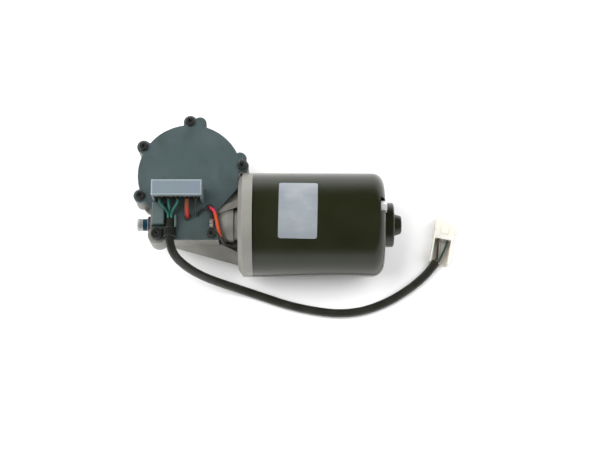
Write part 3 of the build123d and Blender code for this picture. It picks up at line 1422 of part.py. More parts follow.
def red_brush_lead():
    """Lead from under the lid, down beside the worm tunnel and through the end shield to the brushes."""
    hole_x, hole_y = BRUSH_LEAD_HOLE
    grommet_y = MOTOR_Y + GROMMET_AT[0]
    grommet_z = AXIS_Z + GROMMET_AT[1]
    low = LID_TOP + LEAD_D / 2 + CABLE_REST
    holder_y, holder_z = polar(HOLDER_INNER_R + 9, BRUSH_ANGLES[1])
    points = [
        (hole_x, hole_y, LID_BOTTOM - 1.5),
        (hole_x, hole_y, LID_TOP + 3.0),
        (hole_x + 3.6, hole_y - 3.0, low + 2.0),
        (hole_x + 5.6, hole_y - 10.4, low + 1.0),
        (BLOCK_RIGHT + 0.2, hole_y - 18.4, low + 1.6),
        (BLOCK_RIGHT + 2.8, hole_y - 23.6, low - 4.2),
        (BLOCK_RIGHT + 4.0, grommet_y - 0.8, grommet_z + 9.0),
        (SHIELD_START - 7.0, grommet_y, grommet_z),
        (SHIELD_START + SHIELD_WALL + BRUSH_PLATE_T + 3.0, grommet_y, grommet_z),
        (BRUSH_X - 2.0, MOTOR_Y + holder_y, AXIS_Z + holder_z - BRUSH_WIDTH / 2 - HOLDER_WALL - 1.6),
    ]
    with BuildPart() as lead:
        add(wire(points, LEAD_D))
    save(lead, "red_brush_lead")


def lead_grommet():
    """Rubber grommet for the brush lead in the end shield's wall."""
    y, z = GROMMET_AT
    with BuildPart() as grommet:
        with BuildSketch(across(SHIELD_START - 1.6)):
            with Locations((y, z)):
                Circle(LEAD_GROMMET_R + GROMMET_LIP)
        extrude(amount=1.5)
        with BuildSketch(across(SHIELD_START - 0.1)):
            with Locations((y, z)):
                Circle(LEAD_GROMMET_R - RUNNING_FIT)
        extrude(amount=SHIELD_WALL + 2)
        with BuildSketch(across(SHIELD_START - 2)):
            with Locations((y, z)):
                Circle(LEAD_D / 2 + RUNNING_FIT)
        extrude(amount=SHIELD_WALL + 8, mode=Mode.SUBTRACT)
    save(grommet, "lead_grommet")


def earth_tag():
    """Tinned ring tag under the right apron screw, with its crimped barrel."""
    tag_y = APRON_SCREWS[1][1]
    barrel_length = 7.0
    tag_r = SCREW_HEAD_D / 2 + 0.3
    with BuildPart() as tag:
        with BuildSketch(Plane.XY.offset(LID_TOP)):
            with Locations((TAG_X, tag_y)):
                Circle(tag_r)
            with Locations((TAG_X, (tag_y + TAG_LEAD_Y) / 2)):
                Rectangle(2.6, TAG_LEAD_Y - tag_y - 1)
            with Locations(APRON_SCREWS[1]):
                Circle(SCREW_D / 2 + SLIP_FIT, mode=Mode.SUBTRACT)
        extrude(amount=TAG_T)
        with BuildSketch(Plane.XZ.offset(-TAG_LEAD_Y)):
            with Locations((TAG_X, LID_TOP + TAG_BARREL_R)):
                Circle(TAG_BARREL_R)
        extrude(amount=barrel_length)
    save(tag, "earth_tag")


def cable_clamp():
    """Strap over the cable, held down by the corner screw."""
    cable_z = LID_TOP + CABLE_D / 2 + CABLE_REST
    inner = CABLE_D / 2 + SLIP_FIT
    outer = inner + CLAMP_T
    screw_x, screw_y = APRON_SCREWS[0]
    with BuildPart() as clamp:
        with BuildSketch(Plane.XZ.offset(-CLAMP_Y - CLAMP_W / 2)):
            with Locations((CABLE_X, cable_z)):
                Circle(outer)
                Circle(inner, mode=Mode.SUBTRACT)
                with Locations((0, -outer / 2)):
                    Rectangle(2 * outer, outer, mode=Mode.SUBTRACT)
            with Locations((CABLE_X - inner - CLAMP_T / 2, LID_TOP + (cable_z - LID_TOP) / 2)):
                Rectangle(CLAMP_T, cable_z - LID_TOP)
            with Locations((CABLE_X + inner + CLAMP_T / 2, LID_TOP + (cable_z - LID_TOP) / 2)):
                Rectangle(CLAMP_T, cable_z - LID_TOP)
        extrude(amount=CLAMP_W)
        with BuildSketch(Plane.XY.offset(LID_TOP)):
            with Locations((screw_x, screw_y)):
                Circle(SCREW_HEAD_D / 2 + WASHER_FACE + 0.3)
            with Locations(((screw_x + CABLE_X - inner) / 2, CLAMP_Y)):
                Rectangle(CABLE_X - inner - screw_x, CLAMP_W)
            with Locations(APRON_SCREWS[0]):
                Circle(SCREW_D / 2 + SLIP_FIT, mode=Mode.SUBTRACT)
        extrude(amount=CLAMP_T)
    save(clamp, "cable_clamp")


def plug_plane(distance=0.0):
    """The plane across the plug at a distance from its rear end: local y is up, local z points forwards."""
    forward = Vector(sin(radians(PLUG_TURN)), cos(radians(PLUG_TURN)), 0)
    return Plane(
        origin=Vector(PLUG_X, PLUG_Y, GROUND_Z) + forward * distance,
        x_dir=(-forward.Y, forward.X, 0),
        z_dir=forward,
    )


def plug_point(x, y, distance):
    """A point given in the plug's own frame."""
    return tuple(plug_plane(distance).from_local_coords((x, y, 0)))


def cable_route():
    """The cable's corner points, from the sheath's start on the lid down to the ground and into the plug."""
    lid_z = LID_TOP + CABLE_D / 2 + CABLE_REST
    ground_z = GROUND_Z + CABLE_D / 2 + CABLE_REST
    skirt_z = GROUND_Z + PLUG_WALL + CABLE_D / 2 + CABLE_REST
    ahead = [
        (58.0, -90.5),
        (77.0, -97.0),
        (97.4, -101.7),
        (119.7, -104.7),
        (141.1, -102.6),
        (161.3, -95.0),
        (178.5, -84.5),
        (188.0, -76.8),
    ]
    return [
        (CABLE_X, CABLE_START_Y, lid_z),
        (CABLE_X - 0.1, CABLE_START_Y - 6.6, lid_z),
        (CABLE_X, -56.4, lid_z),
        (CABLE_X + 3.6, -65.6, lid_z - 7.2),
        (CABLE_X + 11.0, -71.5, lid_z - 18.0),
        (5.4, -76.0, lid_z - 29.4),
        (16.8, -79.2, lid_z - 41.0),
        (29.2, -82.0, ground_z + 7.4),
        (42.2, -85.4, ground_z + 1.6),
        *[(x, y, ground_z) for x, y in ahead],
        (195.6, -69.6, (ground_z + skirt_z) / 2),
        plug_point(2.0, PLUG_WALL + CABLE_D / 2 + CABLE_REST, CABLE_ENTRY),
    ]


def cable():
    """The sheathed cable."""
    points = cable_route()
    print("cable radii", [round(r, 1) for r in bend_radii(points)])
    with BuildPart() as tube:
        add(wire(points, CABLE_D))
    save(tube, "cable")


def plug_housing():
    """Four-way plug: a mouth at the front, a wall with the pins' cavities and an open-topped skirt behind."""
    front_start = PLUG_LENGTH - PLUG_FRONT_LENGTH
    inner_w = PLUG_W - 2 * PLUG_WALL
    with BuildPart() as plug:
        with BuildSketch(plug_plane()):
            with Locations((0, PLUG_H / 2)):
                RectangleRounded(PLUG_W, PLUG_H, 1.0)
        extrude(amount=PLUG_LENGTH - PLUG_FRONT_LENGTH)
        with BuildSketch(plug_plane(front_start)):
            with Locations((0, PLUG_H / 2)):
                RectangleRounded(PLUG_FRONT_W, PLUG_H, 1.2)
        extrude(amount=PLUG_FRONT_LENGTH)
        chamfer(plug.faces().sort_by(Axis(plug_plane().origin, plug_plane().z_dir))[-1].edges(), 0.4)
        # latch ramp on top and a guide rib on each side
        with BuildSketch(plug_plane(front_start - 4)):
            with Locations((0, PLUG_H - 0.3)):
                Rectangle(6.0, 2.2)
        extrude(amount=PLUG_FRONT_LENGTH - 2)
        for side in (-1, 1):
            with BuildSketch(plug_plane(PLUG_SKIRT + 1)):
                with Locations((side * PLUG_W / 2, PLUG_H / 2)):
                    Rectangle(1.6, 2.4)
            extrude(amount=front_start - PLUG_SKIRT)
        # mouth
        with BuildSketch(plug_plane(PLUG_LENGTH - PLUG_MOUTH_DEPTH)):
            with Locations((0, PLUG_H / 2)):
                RectangleRounded(PLUG_FRONT_W - 2 * PLUG_WALL, PLUG_H - 2 * PLUG_WALL, 0.8)
        extrude(amount=PLUG_MOUTH_DEPTH + 1, mode=Mode.SUBTRACT)
        # open-topped skirt
        with BuildSketch(plug_plane(-1)):
            with Locations((0, PLUG_WALL + PLUG_H / 2)):
                Rectangle(inner_w, PLUG_H)
        extrude(amount=PLUG_SKIRT + 1, mode=Mode.SUBTRACT)
        # cavities and pin holes
        with BuildSketch(plug_plane(PLUG_SKIRT - 1)):
            with Locations(pin_points()):
                Rectangle(CAVITY_W, CAVITY_H)
        extrude(amount=PIN_WALL_START - PLUG_SKIRT + 1, mode=Mode.SUBTRACT)
        with BuildSketch(plug_plane(PIN_WALL_START - 1)):
            with Locations(pin_points()):
                Rectangle(PIN_W + 0.04, PIN_T + 0.04)
        extrude(amount=PLUG_LENGTH, mode=Mode.SUBTRACT)
    save(plug, "plug_housing")


def pin_points():
    """Centres of the four pins in the plug's own frame."""
    half_x = PIN_PITCH_X / 2
    half_y = PIN_PITCH_Y / 2
    return [(x, PLUG_H / 2 + y) for x in (-half_x, half_x) for y in (-half_y, half_y)]


def plug_pins():
    """Four tin-plated pins with their crimped tails in the cavities."""
    with BuildPart() as pins:
        with BuildSketch(plug_plane(PIN_TAIL_START)):
            with Locations(pin_points()):
                Rectangle(CAVITY_W - 0.8, CAVITY_H - 0.3)
        extrude(amount=PIN_WALL_START - PIN_TAIL_START - 0.1)
        with BuildSketch(plug_plane(PIN_WALL_START - 1)):
            with Locations(pin_points()):
                Rectangle(PIN_W, PIN_T)
        extrude(amount=PLUG_LENGTH - PIN_SHORT - PIN_WALL_START + 1)
    save(pins, "plug_pins")


def plug_leads():
    """The cable's four leads, fanned out from the sheath's end to the pins."""
    start, end = cable_route()[-2:]
    forward = (Vector(end) - Vector(start)).normalized()
    sideways = plug_plane().x_dir
    sheath_end = Plane(origin=end, x_dir=sideways - forward * forward.dot(sideways), z_dir=forward)
    with BuildPart() as leads:
        for x, y in pin_points():
            side = 1.35 if x > 0 else -1.35
            rise = 1.25 if y > PLUG_H / 2 else -1.25
            origin = sheath_end.from_local_coords((side, rise, 0))
            points = [
                tuple(origin),
                tuple(origin + forward * 3.0),
                plug_point(x * 0.75, y, (CABLE_ENTRY + PLUG_SKIRT) / 2 + 2),
                plug_point(x, y, PLUG_SKIRT - 1.5),
                plug_point(x, y, PIN_TAIL_START),
            ]
            add(wire(points, PLUG_LEAD_D))
    save(leads, "plug_leads")


for piece in (
    gear_housing,
    cover_gasket,
    gear_cover,
    cover_screws,
    terminal_hood,
    terminal_block,
    blade_terminals,
    contact_carrier,
    contact_springs,
    output_shaft,
    wheel_hub,
    worm_wheel,
    contact_disc,
    thrust_washers,
    circlip,
    output_bushes,
    shaft_seal,
    adjusting_screw,
    lock_nut,
    thrust_ball,
    front_bush,
    armature_shaft,
    armature_core,
    armature_windings,
    commutator,
    bearing,
    bearing_retainer,
    pole_housing,
    tie_bolts,
    magnets,
    rear_bush,
    brush_plate,
    brush_holders,
    brushes,
    green_leads,
    red_sleeve_lead,
    black_lead,
    red_brush_lead,
    lead_grommet,
    earth_tag,
    cable_clamp,
    cable,
    plug_housing,
    plug_pins,
    plug_leads,
):
    piece()
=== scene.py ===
import json
import math

import bmesh
import bpy
from mathutils import Matrix, Vector


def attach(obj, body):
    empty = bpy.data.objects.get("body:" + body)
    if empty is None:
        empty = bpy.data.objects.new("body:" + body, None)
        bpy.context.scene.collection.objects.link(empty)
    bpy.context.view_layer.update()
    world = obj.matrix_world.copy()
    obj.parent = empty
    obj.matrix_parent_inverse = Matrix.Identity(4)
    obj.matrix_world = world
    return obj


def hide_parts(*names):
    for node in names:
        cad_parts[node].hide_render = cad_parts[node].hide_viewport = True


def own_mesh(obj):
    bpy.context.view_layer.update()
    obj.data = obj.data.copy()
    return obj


# Looks of the wiper motor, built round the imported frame. Metres.

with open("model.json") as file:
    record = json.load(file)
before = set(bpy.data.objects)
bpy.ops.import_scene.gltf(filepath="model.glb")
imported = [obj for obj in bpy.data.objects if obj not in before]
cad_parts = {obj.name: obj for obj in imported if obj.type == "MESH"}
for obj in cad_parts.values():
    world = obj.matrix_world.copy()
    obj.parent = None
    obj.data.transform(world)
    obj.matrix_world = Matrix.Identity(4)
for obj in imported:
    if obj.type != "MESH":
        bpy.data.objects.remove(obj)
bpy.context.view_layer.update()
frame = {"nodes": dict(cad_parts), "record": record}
nodes = frame["nodes"]

MM = 0.001
AXES = {"X": Vector((1, 0, 0)), "Y": Vector((0, 1, 0)), "Z": Vector((0, 0, 1))}
WELD = 1e-6  # points nearer than this are one point
ON_PLANE = 1e-7  # points nearer to a cutting plane than this lie on it

# Places and sizes in the frame, in metres
MOTOR_Y = -0.038
AXIS_Z = 0.018
GROUND_Z = -0.024
CAN_R = 0.042
PLUG_X = 0.2035
PLUG_Y = -0.063
PLUG_Z = GROUND_Z + 0.0065
PLUG_TURN = math.radians(11.3)
# and in mm
LID_TOP = 33.0
BRUSH_X = 57.0


# ---------------------------------------------------------------- camera, floor and light
CAMERA_TILT = math.radians(12.5)
CAMERA_DISTANCE = 1.2
CAMERA_TARGET = Vector((0.0888, MOTOR_Y, AXIS_Z))
LENS = 88.9
SENSOR_WIDTH = 36.0

LAMP_TARGET = (0.08, -0.03, 0.0)
LAMPS = (
    # name, place, size, power, whether it shows as a highlight
    ("lamp_left", (-0.75, 0.15, 1.35), 1.3, 31, False),
    ("lamp_right", (0.95, 0.10, 1.35), 1.3, 21, False),
    ("lamp_back", (-0.50, 1.10, 0.40), 0.6, 5, True),
)
TENT_COLOUR = (0.98, 0.99, 1.0, 1)
TENT = (
    # direction, from, to, brightness there and there
    ("Z", -0.05, 0.48, 1.45, 0.16),
    ("Y", -0.7, 0.5, 1.0, 0.9),
)
FLOOR_HALF = 2.0
FLOOR_GAP = 0.0003


def camera():
    """Camera almost straight above the lid, tilted towards the cable's side."""
    data = bpy.data.cameras.new("camera")
    data.lens = LENS
    data.sensor_width = SENSOR_WIDTH
    data.clip_start = 0.01
    cam = bpy.data.objects.new("camera", data)
    back = Vector((0, -math.sin(CAMERA_TILT), math.cos(CAMERA_TILT)))
    cam.location = CAMERA_TARGET + CAMERA_DISTANCE * back
    cam.rotation_euler = (CAMERA_TILT, 0, 0)
    bpy.context.collection.objects.link(cam)
    bpy.context.scene.camera = cam


def soft_light(name, place, size, power, shine):
    """A large square lamp aimed at the object, that shows as a highlight or only lights."""
    data = bpy.data.lights.new(name, "AREA")
    data.shape = "SQUARE"
    data.size = size
    data.energy = power
    lamp = bpy.data.objects.new(name, data)
    lamp.location = place
    lamp.visible_glossy = shine
    lamp.rotation_euler = (Vector(LAMP_TARGET) - Vector(place)).to_track_quat("-Z", "Y").to_euler()
    bpy.context.collection.objects.link(lamp)


def surroundings():
    """Pale tent round the object: bright low down and at the back, darker overhead and in front."""
    world = bpy.data.worlds.new("studio")
    world.use_nodes = True
    tree = world.node_tree
    background = tree.nodes["Background"]
    background.inputs["Color"].default_value = TENT_COLOUR
    direction = tree.nodes.new("ShaderNodeTexCoord")
    split = tree.nodes.new("ShaderNodeSeparateXYZ")
    tree.links.new(direction.outputs["Generated"], split.inputs["Vector"])
    parts = []
    for axis, low, high, bottom, top in TENT:
        ranged = tree.nodes.new("ShaderNodeMapRange")
        ranged.interpolation_type = "SMOOTHSTEP"
        for key, value in (("From Min", low), ("From Max", high), ("To Min", bottom), ("To Max", top)):
            ranged.inputs[key].default_value = value
        tree.links.new(split.outputs[axis], ranged.inputs["Value"])
        parts.append(ranged.outputs["Result"])
    both = tree.nodes.new("ShaderNodeMath")
    both.operation = "MULTIPLY"
    tree.links.new(parts[0], both.inputs[0])
    tree.links.new(parts[1], both.inputs[1])
    tree.links.new(both.outputs["Value"], background.inputs["Strength"])
    bpy.context.scene.world = world


def studio():
    """Pale floor, pale surroundings and soft lamps."""
    surroundings()
    bpy.context.scene.view_settings.view_transform = "Standard"
    for lamp in LAMPS:
        soft_light(*lamp)
    mesh = bpy.data.meshes.new("floor")
    z = GROUND_Z - FLOOR_GAP
    corners = [(x * FLOOR_HALF, y * FLOOR_HALF, z) for x, y in ((-1, -1), (1, -1), (1, 1), (-1, 1))]
    mesh.from_pydata(corners, [], [(0, 1, 2, 3)])
    floor = bpy.data.objects.new("floor", mesh)
    bpy.context.collection.objects.link(floor)
    return floor


camera()

# ---------------------------------------------------------------- cable
# Places and diameter in mm
CABLE_D = 7.0
CABLE_POINTS = [
    (-15.2, -36.8, 36.6),
    (-15.3, -43.4, 36.6),
    (-15.2, -56.4, 36.6),
    (-11.6, -65.6, 29.4),
    (-4.2, -71.5, 18.6),
    (5.4, -76.0, 7.2),
    (16.8, -79.2, -4.4),
    (29.2, -82.0, -13.0),
    (42.2, -85.4, -18.8),
    (58.0, -90.5, -20.4),
    (77.0, -97.0, -20.4),
    (97.4, -101.7, -20.4),
    (119.7, -104.7, -20.4),
    (141.1, -102.6, -20.4),
    (161.3, -95.0, -20.4),
    (178.5, -84.5, -20.4),
    (188.0, -76.8, -20.4),
    (195.6, -69.6, -19.65),
    (201.74, -61.63, -18.9),
]


def cable():
    """The sheathed cable as one smooth curve."""
    curve = bpy.data.curves.new("cable_sheath", "CURVE")
    curve.dimensions = "3D"
    curve.bevel_depth = 1.0
    curve.bevel_resolution = 6
    curve.use_fill_caps = True
    curve.resolution_u = 12
    curve.render_resolution_u = 12
    spline = curve.splines.new("NURBS")
    spline.points.add(len(CABLE_POINTS) - 1)
    for point, (x, y, z) in zip(spline.points, CABLE_POINTS):
        point.co = (x * MM, y * MM, z * MM, 1)
        point.radius = CABLE_D / 2 * MM
    spline.order_u = 3
    spline.use_endpoint_u = True
    sheath = bpy.data.objects.new("cable_sheath", curve)
    bpy.context.collection.objects.link(sheath)
    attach(sheath, "case")
    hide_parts("cable")
    return sheath


sheath = cable()
floor = studio()


# ---------------------------------------------------------------- finishes
BEVEL_SAMPLES = 6
FLAT, SHARP = 0.995, 0.9  # cosines between a face and its rounded normal, on a flat and at an edge


class Finish:
    """One material and the few node patterns that this object's finishes are made of."""

    def __init__(self, name, colour, rough, metal=0.0, coat=0.0):
        self.material = bpy.data.materials.new(name)
        self.material.use_nodes = True
        self.tree = self.material.node_tree
        self.shader = self.tree.nodes["Principled BSDF"]
        self.shader.inputs["Base Color"].default_value = (*colour, 1)
        self.shader.inputs["Roughness"].default_value = rough
        self.shader.inputs["Metallic"].default_value = metal
        self.shader.inputs["Coat Weight"].default_value = coat
        self.colour = colour
        self.place = self.node("ShaderNodeTexCoord").outputs["Object"]
        self.height = None
        self.tone = None

    def node(self, kind, **settings):
        """A new shader node with these settings."""
        made = self.tree.nodes.new(kind)
        for key, value in settings.items():
            setattr(made, key, value)
        return made

    def link(self, source, target):
        """Joins an output to an input."""
        self.tree.links.new(source, target)

    def noise(self, scale, detail=3.0, stretch=None):
        """A noise value over the object, with features of about one over the scale."""
        pattern = self.node("ShaderNodeTexNoise")
        pattern.inputs["Scale"].default_value = scale
        pattern.inputs["Detail"].default_value = detail
        if stretch:
            squeeze = self.node("ShaderNodeMapping")
            squeeze.inputs["Scale"].default_value = stretch
            self.link(self.place, squeeze.inputs["Vector"])
            self.link(squeeze.outputs["Vector"], pattern.inputs["Vector"])
        else:
            self.link(self.place, pattern.inputs["Vector"])
        return pattern.outputs["Fac"]

    def band(self, value, low, high, bottom=0.0, top=1.0):
        """The value stretched from low..high to bottom..top."""
        ranged = self.node("ShaderNodeMapRange")
        ranged.inputs["From Min"].default_value = low
        ranged.inputs["From Max"].default_value = high
        ranged.inputs["To Min"].default_value = bottom
        ranged.inputs["To Max"].default_value = top
        self.link(value, ranged.inputs["Value"])
        return ranged.outputs["Result"]

    def edge(self, radius):
        """0 on flats and 1 on the sharp edges of the metal."""
        rounded = self.node("ShaderNodeBevel", samples=BEVEL_SAMPLES)
        rounded.inputs["Radius"].default_value = radius
        flat = self.node("ShaderNodeNewGeometry")
        dot = self.node("ShaderNodeVectorMath", operation="DOT_PRODUCT")
        self.link(rounded.outputs["Normal"], dot.inputs[0])
        self.link(flat.outputs["Normal"], dot.inputs[1])
        return self.band(dot.outputs["Value"], FLAT, SHARP)

    def stain(self, other, factor):
        """Mixes another colour in where the factor is high."""
        mix = self.node("ShaderNodeMix", data_type="RGBA")
        self.link(factor, mix.inputs["Factor"])
        if self.tone is None:
            mix.inputs["A"].default_value = (*self.colour, 1)
        else:
            self.link(self.tone, mix.inputs["A"])
        mix.inputs["B"].default_value = (*other, 1)
        self.tone = mix.outputs["Result"]
        self.link(self.tone, self.shader.inputs["Base Color"])

    def mottle(self, other, value, low, high, most=1.0):
        """Stains with another colour, from none where the value is low to the most where it is high."""
        self.stain(other, self.band(value, low, high, 0.0, most))

    def highlight_edges(self, other, radius, most):
        """Paints a highlight on the sharp edges in another colour, as if they caught the light."""
        self.mottle(other, self.edge(radius), 0.0, 1.0, most)

    def times(self, first, second):
        """Product of two values."""
        product = self.node("ShaderNodeMath", operation="MULTIPLY")
        self.link(first, product.inputs[0])
        self.link(second, product.inputs[1])
        return product.outputs["Value"]

    def roughen(self, value, low, high):
        """Roughness that follows a pattern."""
        self.link(self.band(value, 0.3, 0.7, low, high), self.shader.inputs["Roughness"])

    def relief(self, value, depth, strength=1.0):
        """Adds the pattern to the surface's bump."""
        bump = self.node("ShaderNodeBump")
        bump.inputs["Distance"].default_value = depth
        bump.inputs["Strength"].default_value = strength
        self.link(value, bump.inputs["Height"])
        if self.height is not None:
            self.link(self.height, bump.inputs["Normal"])
        self.height = bump.outputs["Normal"]
        self.link(self.height, self.shader.inputs["Normal"])

    def round_edges(self, radius):
        """Edges that catch the light as if they were rounded by this radius."""
        rounded = self.node("ShaderNodeBevel", samples=BEVEL_SAMPLES)
        rounded.inputs["Radius"].default_value = radius
        self.height = rounded.outputs["Normal"]
        self.link(self.height, self.shader.inputs["Normal"])

    def axis_value(self, axis):
        """One coordinate of the place on the object."""
        split = self.node("ShaderNodeSeparateXYZ")
        self.link(self.place, split.inputs["Vector"])
        return split.outputs[axis]


def cast_aluminium():
    """Bead-blasted casting, smoother on the turned rim next to the can."""
    f = Finish("cast_aluminium", (0.245, 0.24, 0.215), 0.5, metal=0.3)
    f.round_edges(0.0007)
    cast = f.band(f.axis_value("X"), 0.0385, 0.0405, 1.0, 0.15)
    f.stain((0.195, 0.188, 0.165), f.times(cast, f.band(f.noise(45, 5), 0.42, 0.7, 0.0, 0.8)))
    f.stain((0.115, 0.11, 0.09), f.times(cast, f.band(f.noise(900, 3), 0.58, 0.80, 0.0, 0.45)))
    # Painted highlight: lighter sharp edges on the casting.
    f.highlight_edges((0.42, 0.41, 0.385), 0.0006, 0.6)
    f.roughen(f.noise(150, 3), 0.40, 0.58)
    f.relief(f.times(cast, f.noise(1100, 4)), 0.00010, 0.8)
    f.relief(f.times(cast, f.noise(130, 2)), 0.0004, 0.25)
    return f.material


def lid_plastic():
    """Slate grey-green moulding, mottled, with painted shade towards the cable's side and a painted
    highlight on its raised tops.
    """
    f = Finish("lid_plastic", (0.040, 0.060, 0.062), 0.50)
    f.round_edges(0.0005)
    f.mottle((0.054, 0.074, 0.078), f.noise(38, 5), 0.40, 0.68, 0.8)
    f.mottle((0.029, 0.043, 0.038), f.noise(85, 4, (1.0, 0.6, 1.0)), 0.50, 0.75, 0.8)
    # Painted shade: darker and greener towards the cable's side.
    f.mottle((0.025, 0.040, 0.034), f.axis_value("Y"), -0.018, -0.046, 0.5)
    # Painted highlight: lighter on the raised tops above the lid.
    f.mottle((0.066, 0.092, 0.090), f.axis_value("Z"), 0.0355, 0.0385, 0.8)
    # Painted highlight: lighter sharp edges.
    f.highlight_edges((0.12, 0.155, 0.155), 0.0004, 0.45)
    f.roughen(f.noise(55, 4), 0.40, 0.58)
    f.relief(f.noise(2600, 2), 0.00004, 0.6)
    f.relief(f.noise(70, 3), 0.0004, 0.12)
    return f.material


def hood_plastic():
    """Pale blue-grey moulding with painted highlights on its edges."""
    f = Finish("hood_plastic", (0.130, 0.165, 0.178), 0.38)
    f.round_edges(0.0006)
    f.mottle((0.132, 0.160, 0.200), f.noise(55, 3), 0.42, 0.66, 0.8)
    # Painted highlight: two lighter bands on the edges, where they catch the light.
    f.highlight_edges((0.22, 0.265, 0.275), 0.0022, 0.75)
    f.highlight_edges((0.56, 0.62, 0.63), 0.0008, 0.75)
    f.roughen(f.noise(120, 3), 0.32, 0.46)
    f.relief(f.noise(2200, 2), 0.00003, 0.5)
    return f.material


def moulded(name, colour, shade, rough):
    """Moulded plastic with a little mottling, fine grain and soft edges."""
    f = Finish(name, colour, rough)
    f.round_edges(0.0004)
    f.mottle(shade, f.noise(90, 3), 0.42, 0.7, 0.7)
    f.roughen(f.noise(160, 3), rough - 0.06, rough + 0.08)
    f.relief(f.noise(1800, 2), 0.00003, 0.5)
    return f.material


def machined(name, colour, shade, rough, axis="X"):
    """Turned or ground metal with fine rings along its axis."""
    f = Finish(name, colour, rough, metal=1.0)
    f.round_edges(0.0003)
    stretch = [1.0 if along else 0.05 for along in AXES[axis]]
    f.mottle(shade, f.noise(45, 4), 0.45, 0.72, 0.65)
    f.roughen(f.noise(240, 3), rough - 0.08, rough + 0.1)
    f.relief(f.noise(1500, 2, stretch), 0.00004, 0.5)
    return f.material


def black_oxide():
    """Blackened steel, with painted highlights on its edges."""
    f = Finish("black_oxide", (0.017, 0.019, 0.017), 0.36, metal=0.6)
    f.round_edges(0.0004)
    # Painted highlight: bright rims on the edges of the heads.
    f.highlight_edges((0.24, 0.25, 0.235), 0.0005, 0.8)
    f.mottle((0.034, 0.036, 0.030), f.noise(300, 3), 0.5, 0.72, 0.6)
    f.roughen(f.noise(260, 3), 0.32, 0.52)
    f.relief(f.noise(1600, 3), 0.00004, 0.5)
    return f.material


def can_paint():
    """Glossy olive-black enamel with a faint orange peel, and painted shadow, near black, where it meets the
    casting.
    """
    f = Finish("can_paint", (0.0090, 0.0108, 0.0028), 0.30)
    f.shader.inputs["Specular IOR Level"].default_value = 0.42
    f.round_edges(0.0006)
    f.mottle((0.0130, 0.0150, 0.0060), f.noise(26, 3), 0.40, 0.68, 0.8)
    f.mottle((0.030, 0.031, 0.022), f.noise(900, 2), 0.74, 0.84, 0.15)
    # Painted shadow: near black in the gap next to the casting.
    f.mottle((0.0015, 0.0015, 0.001), f.axis_value("X"), 0.0525, 0.0516)
    f.roughen(f.noise(40, 3), 0.19, 0.27)
    f.relief(f.noise(160, 2), 0.00004, 0.12)
    return f.material


def wire_finish(name, colour, shade):
    """Wire insulation with a slight waviness."""
    f = Finish(name, colour, 0.36)
    f.mottle(shade, f.noise(240, 3), 0.40, 0.7, 0.8)
    f.roughen(f.noise(300, 2), 0.30, 0.46)
    f.relief(f.noise(900, 2), 0.00005, 0.4)
    return f.material


def cable_finish():
    """Black cable sheath, dusty in patches and darker higher up, where it lies on the lid."""
    f = Finish("cable_sheath", (0.0145, 0.0135, 0.0100), 0.42)
    f.mottle((0.024, 0.0255, 0.0200), f.noise(70, 4), 0.42, 0.68, 0.9)
    f.mottle((0.07, 0.07, 0.06), f.noise(900, 2), 0.70, 0.80, 0.2)
    f.mottle((0.0065, 0.0075, 0.0045), f.axis_value("Z"), 0.0, 0.030, 0.75)
    f.roughen(f.noise(110, 4), 0.32, 0.50)
    f.relief(f.noise(300, 3), 0.00016, 0.4)
    f.relief(f.noise(45, 2), 0.0006, 0.25)
    return f.material


def rubber_finish():
    """Matt black rubber with greyish bloom."""
    f = Finish("rubber", (0.020, 0.020, 0.020), 0.62)
    f.round_edges(0.0003)
    f.mottle((0.05, 0.05, 0.048), f.noise(300, 3), 0.5, 0.7, 0.7)
    f.relief(f.noise(1200, 3), 0.00005, 0.6)
    return f.material


def plug_nylon():
    """Milky nylon that lets a little light through."""
    f = Finish("plug_nylon", (0.76, 0.74, 0.665), 0.40)
    f.shader.inputs["Subsurface Weight"].default_value = 0.7
    f.shader.inputs["Subsurface Radius"].default_value = (0.0050, 0.0044, 0.0032)
    f.shader.inputs["Subsurface Scale"].default_value = 1.0
    f.round_edges(0.0004)
    f.mottle((0.70, 0.67, 0.58), f.noise(80, 4), 0.45, 0.72, 0.6)
    f.roughen(f.noise(160, 3), 0.34, 0.50)
    f.relief(f.noise(1500, 2), 0.00003, 0.5)
    return f.material


def laminations():
    """Stack of core sheets with rusty patches."""
    f = Finish("laminations", (0.17, 0.165, 0.16), 0.45, metal=0.9)
    stripes = f.node("ShaderNodeTexWave", wave_type="BANDS", bands_direction="X")
    stripes.inputs["Scale"].default_value = 320.0
    stripes.inputs["Distortion"].default_value = 0.4
    f.link(f.place, stripes.inputs["Vector"])
    f.mottle((0.05, 0.05, 0.05), stripes.outputs["Fac"], 0.55, 0.9, 0.8)
    f.mottle((0.20, 0.12, 0.07), f.noise(120, 3), 0.55, 0.75, 0.5)
    f.relief(stripes.outputs["Fac"], 0.00012, 0.6)
    return f.material


def enamel_wire():
    """Wound copper wire under enamel."""
    f = Finish("enamel_wire", (0.42, 0.16, 0.06), 0.30, metal=0.7, coat=0.4)
    strands = f.node("ShaderNodeTexWave", wave_type="BANDS", bands_direction="DIAGONAL")
    strands.inputs["Scale"].default_value = 300.0
    strands.inputs["Distortion"].default_value = 6.0
    strands.inputs["Detail"].default_value = 2.0
    f.link(f.place, strands.inputs["Vector"])
    f.stain((0.14, 0.05, 0.02), f.band(strands.outputs["Fac"], 0.15, 0.5, 0.8, 0.0))
    f.relief(strands.outputs["Fac"], 0.0003, 0.9)
    return f.material


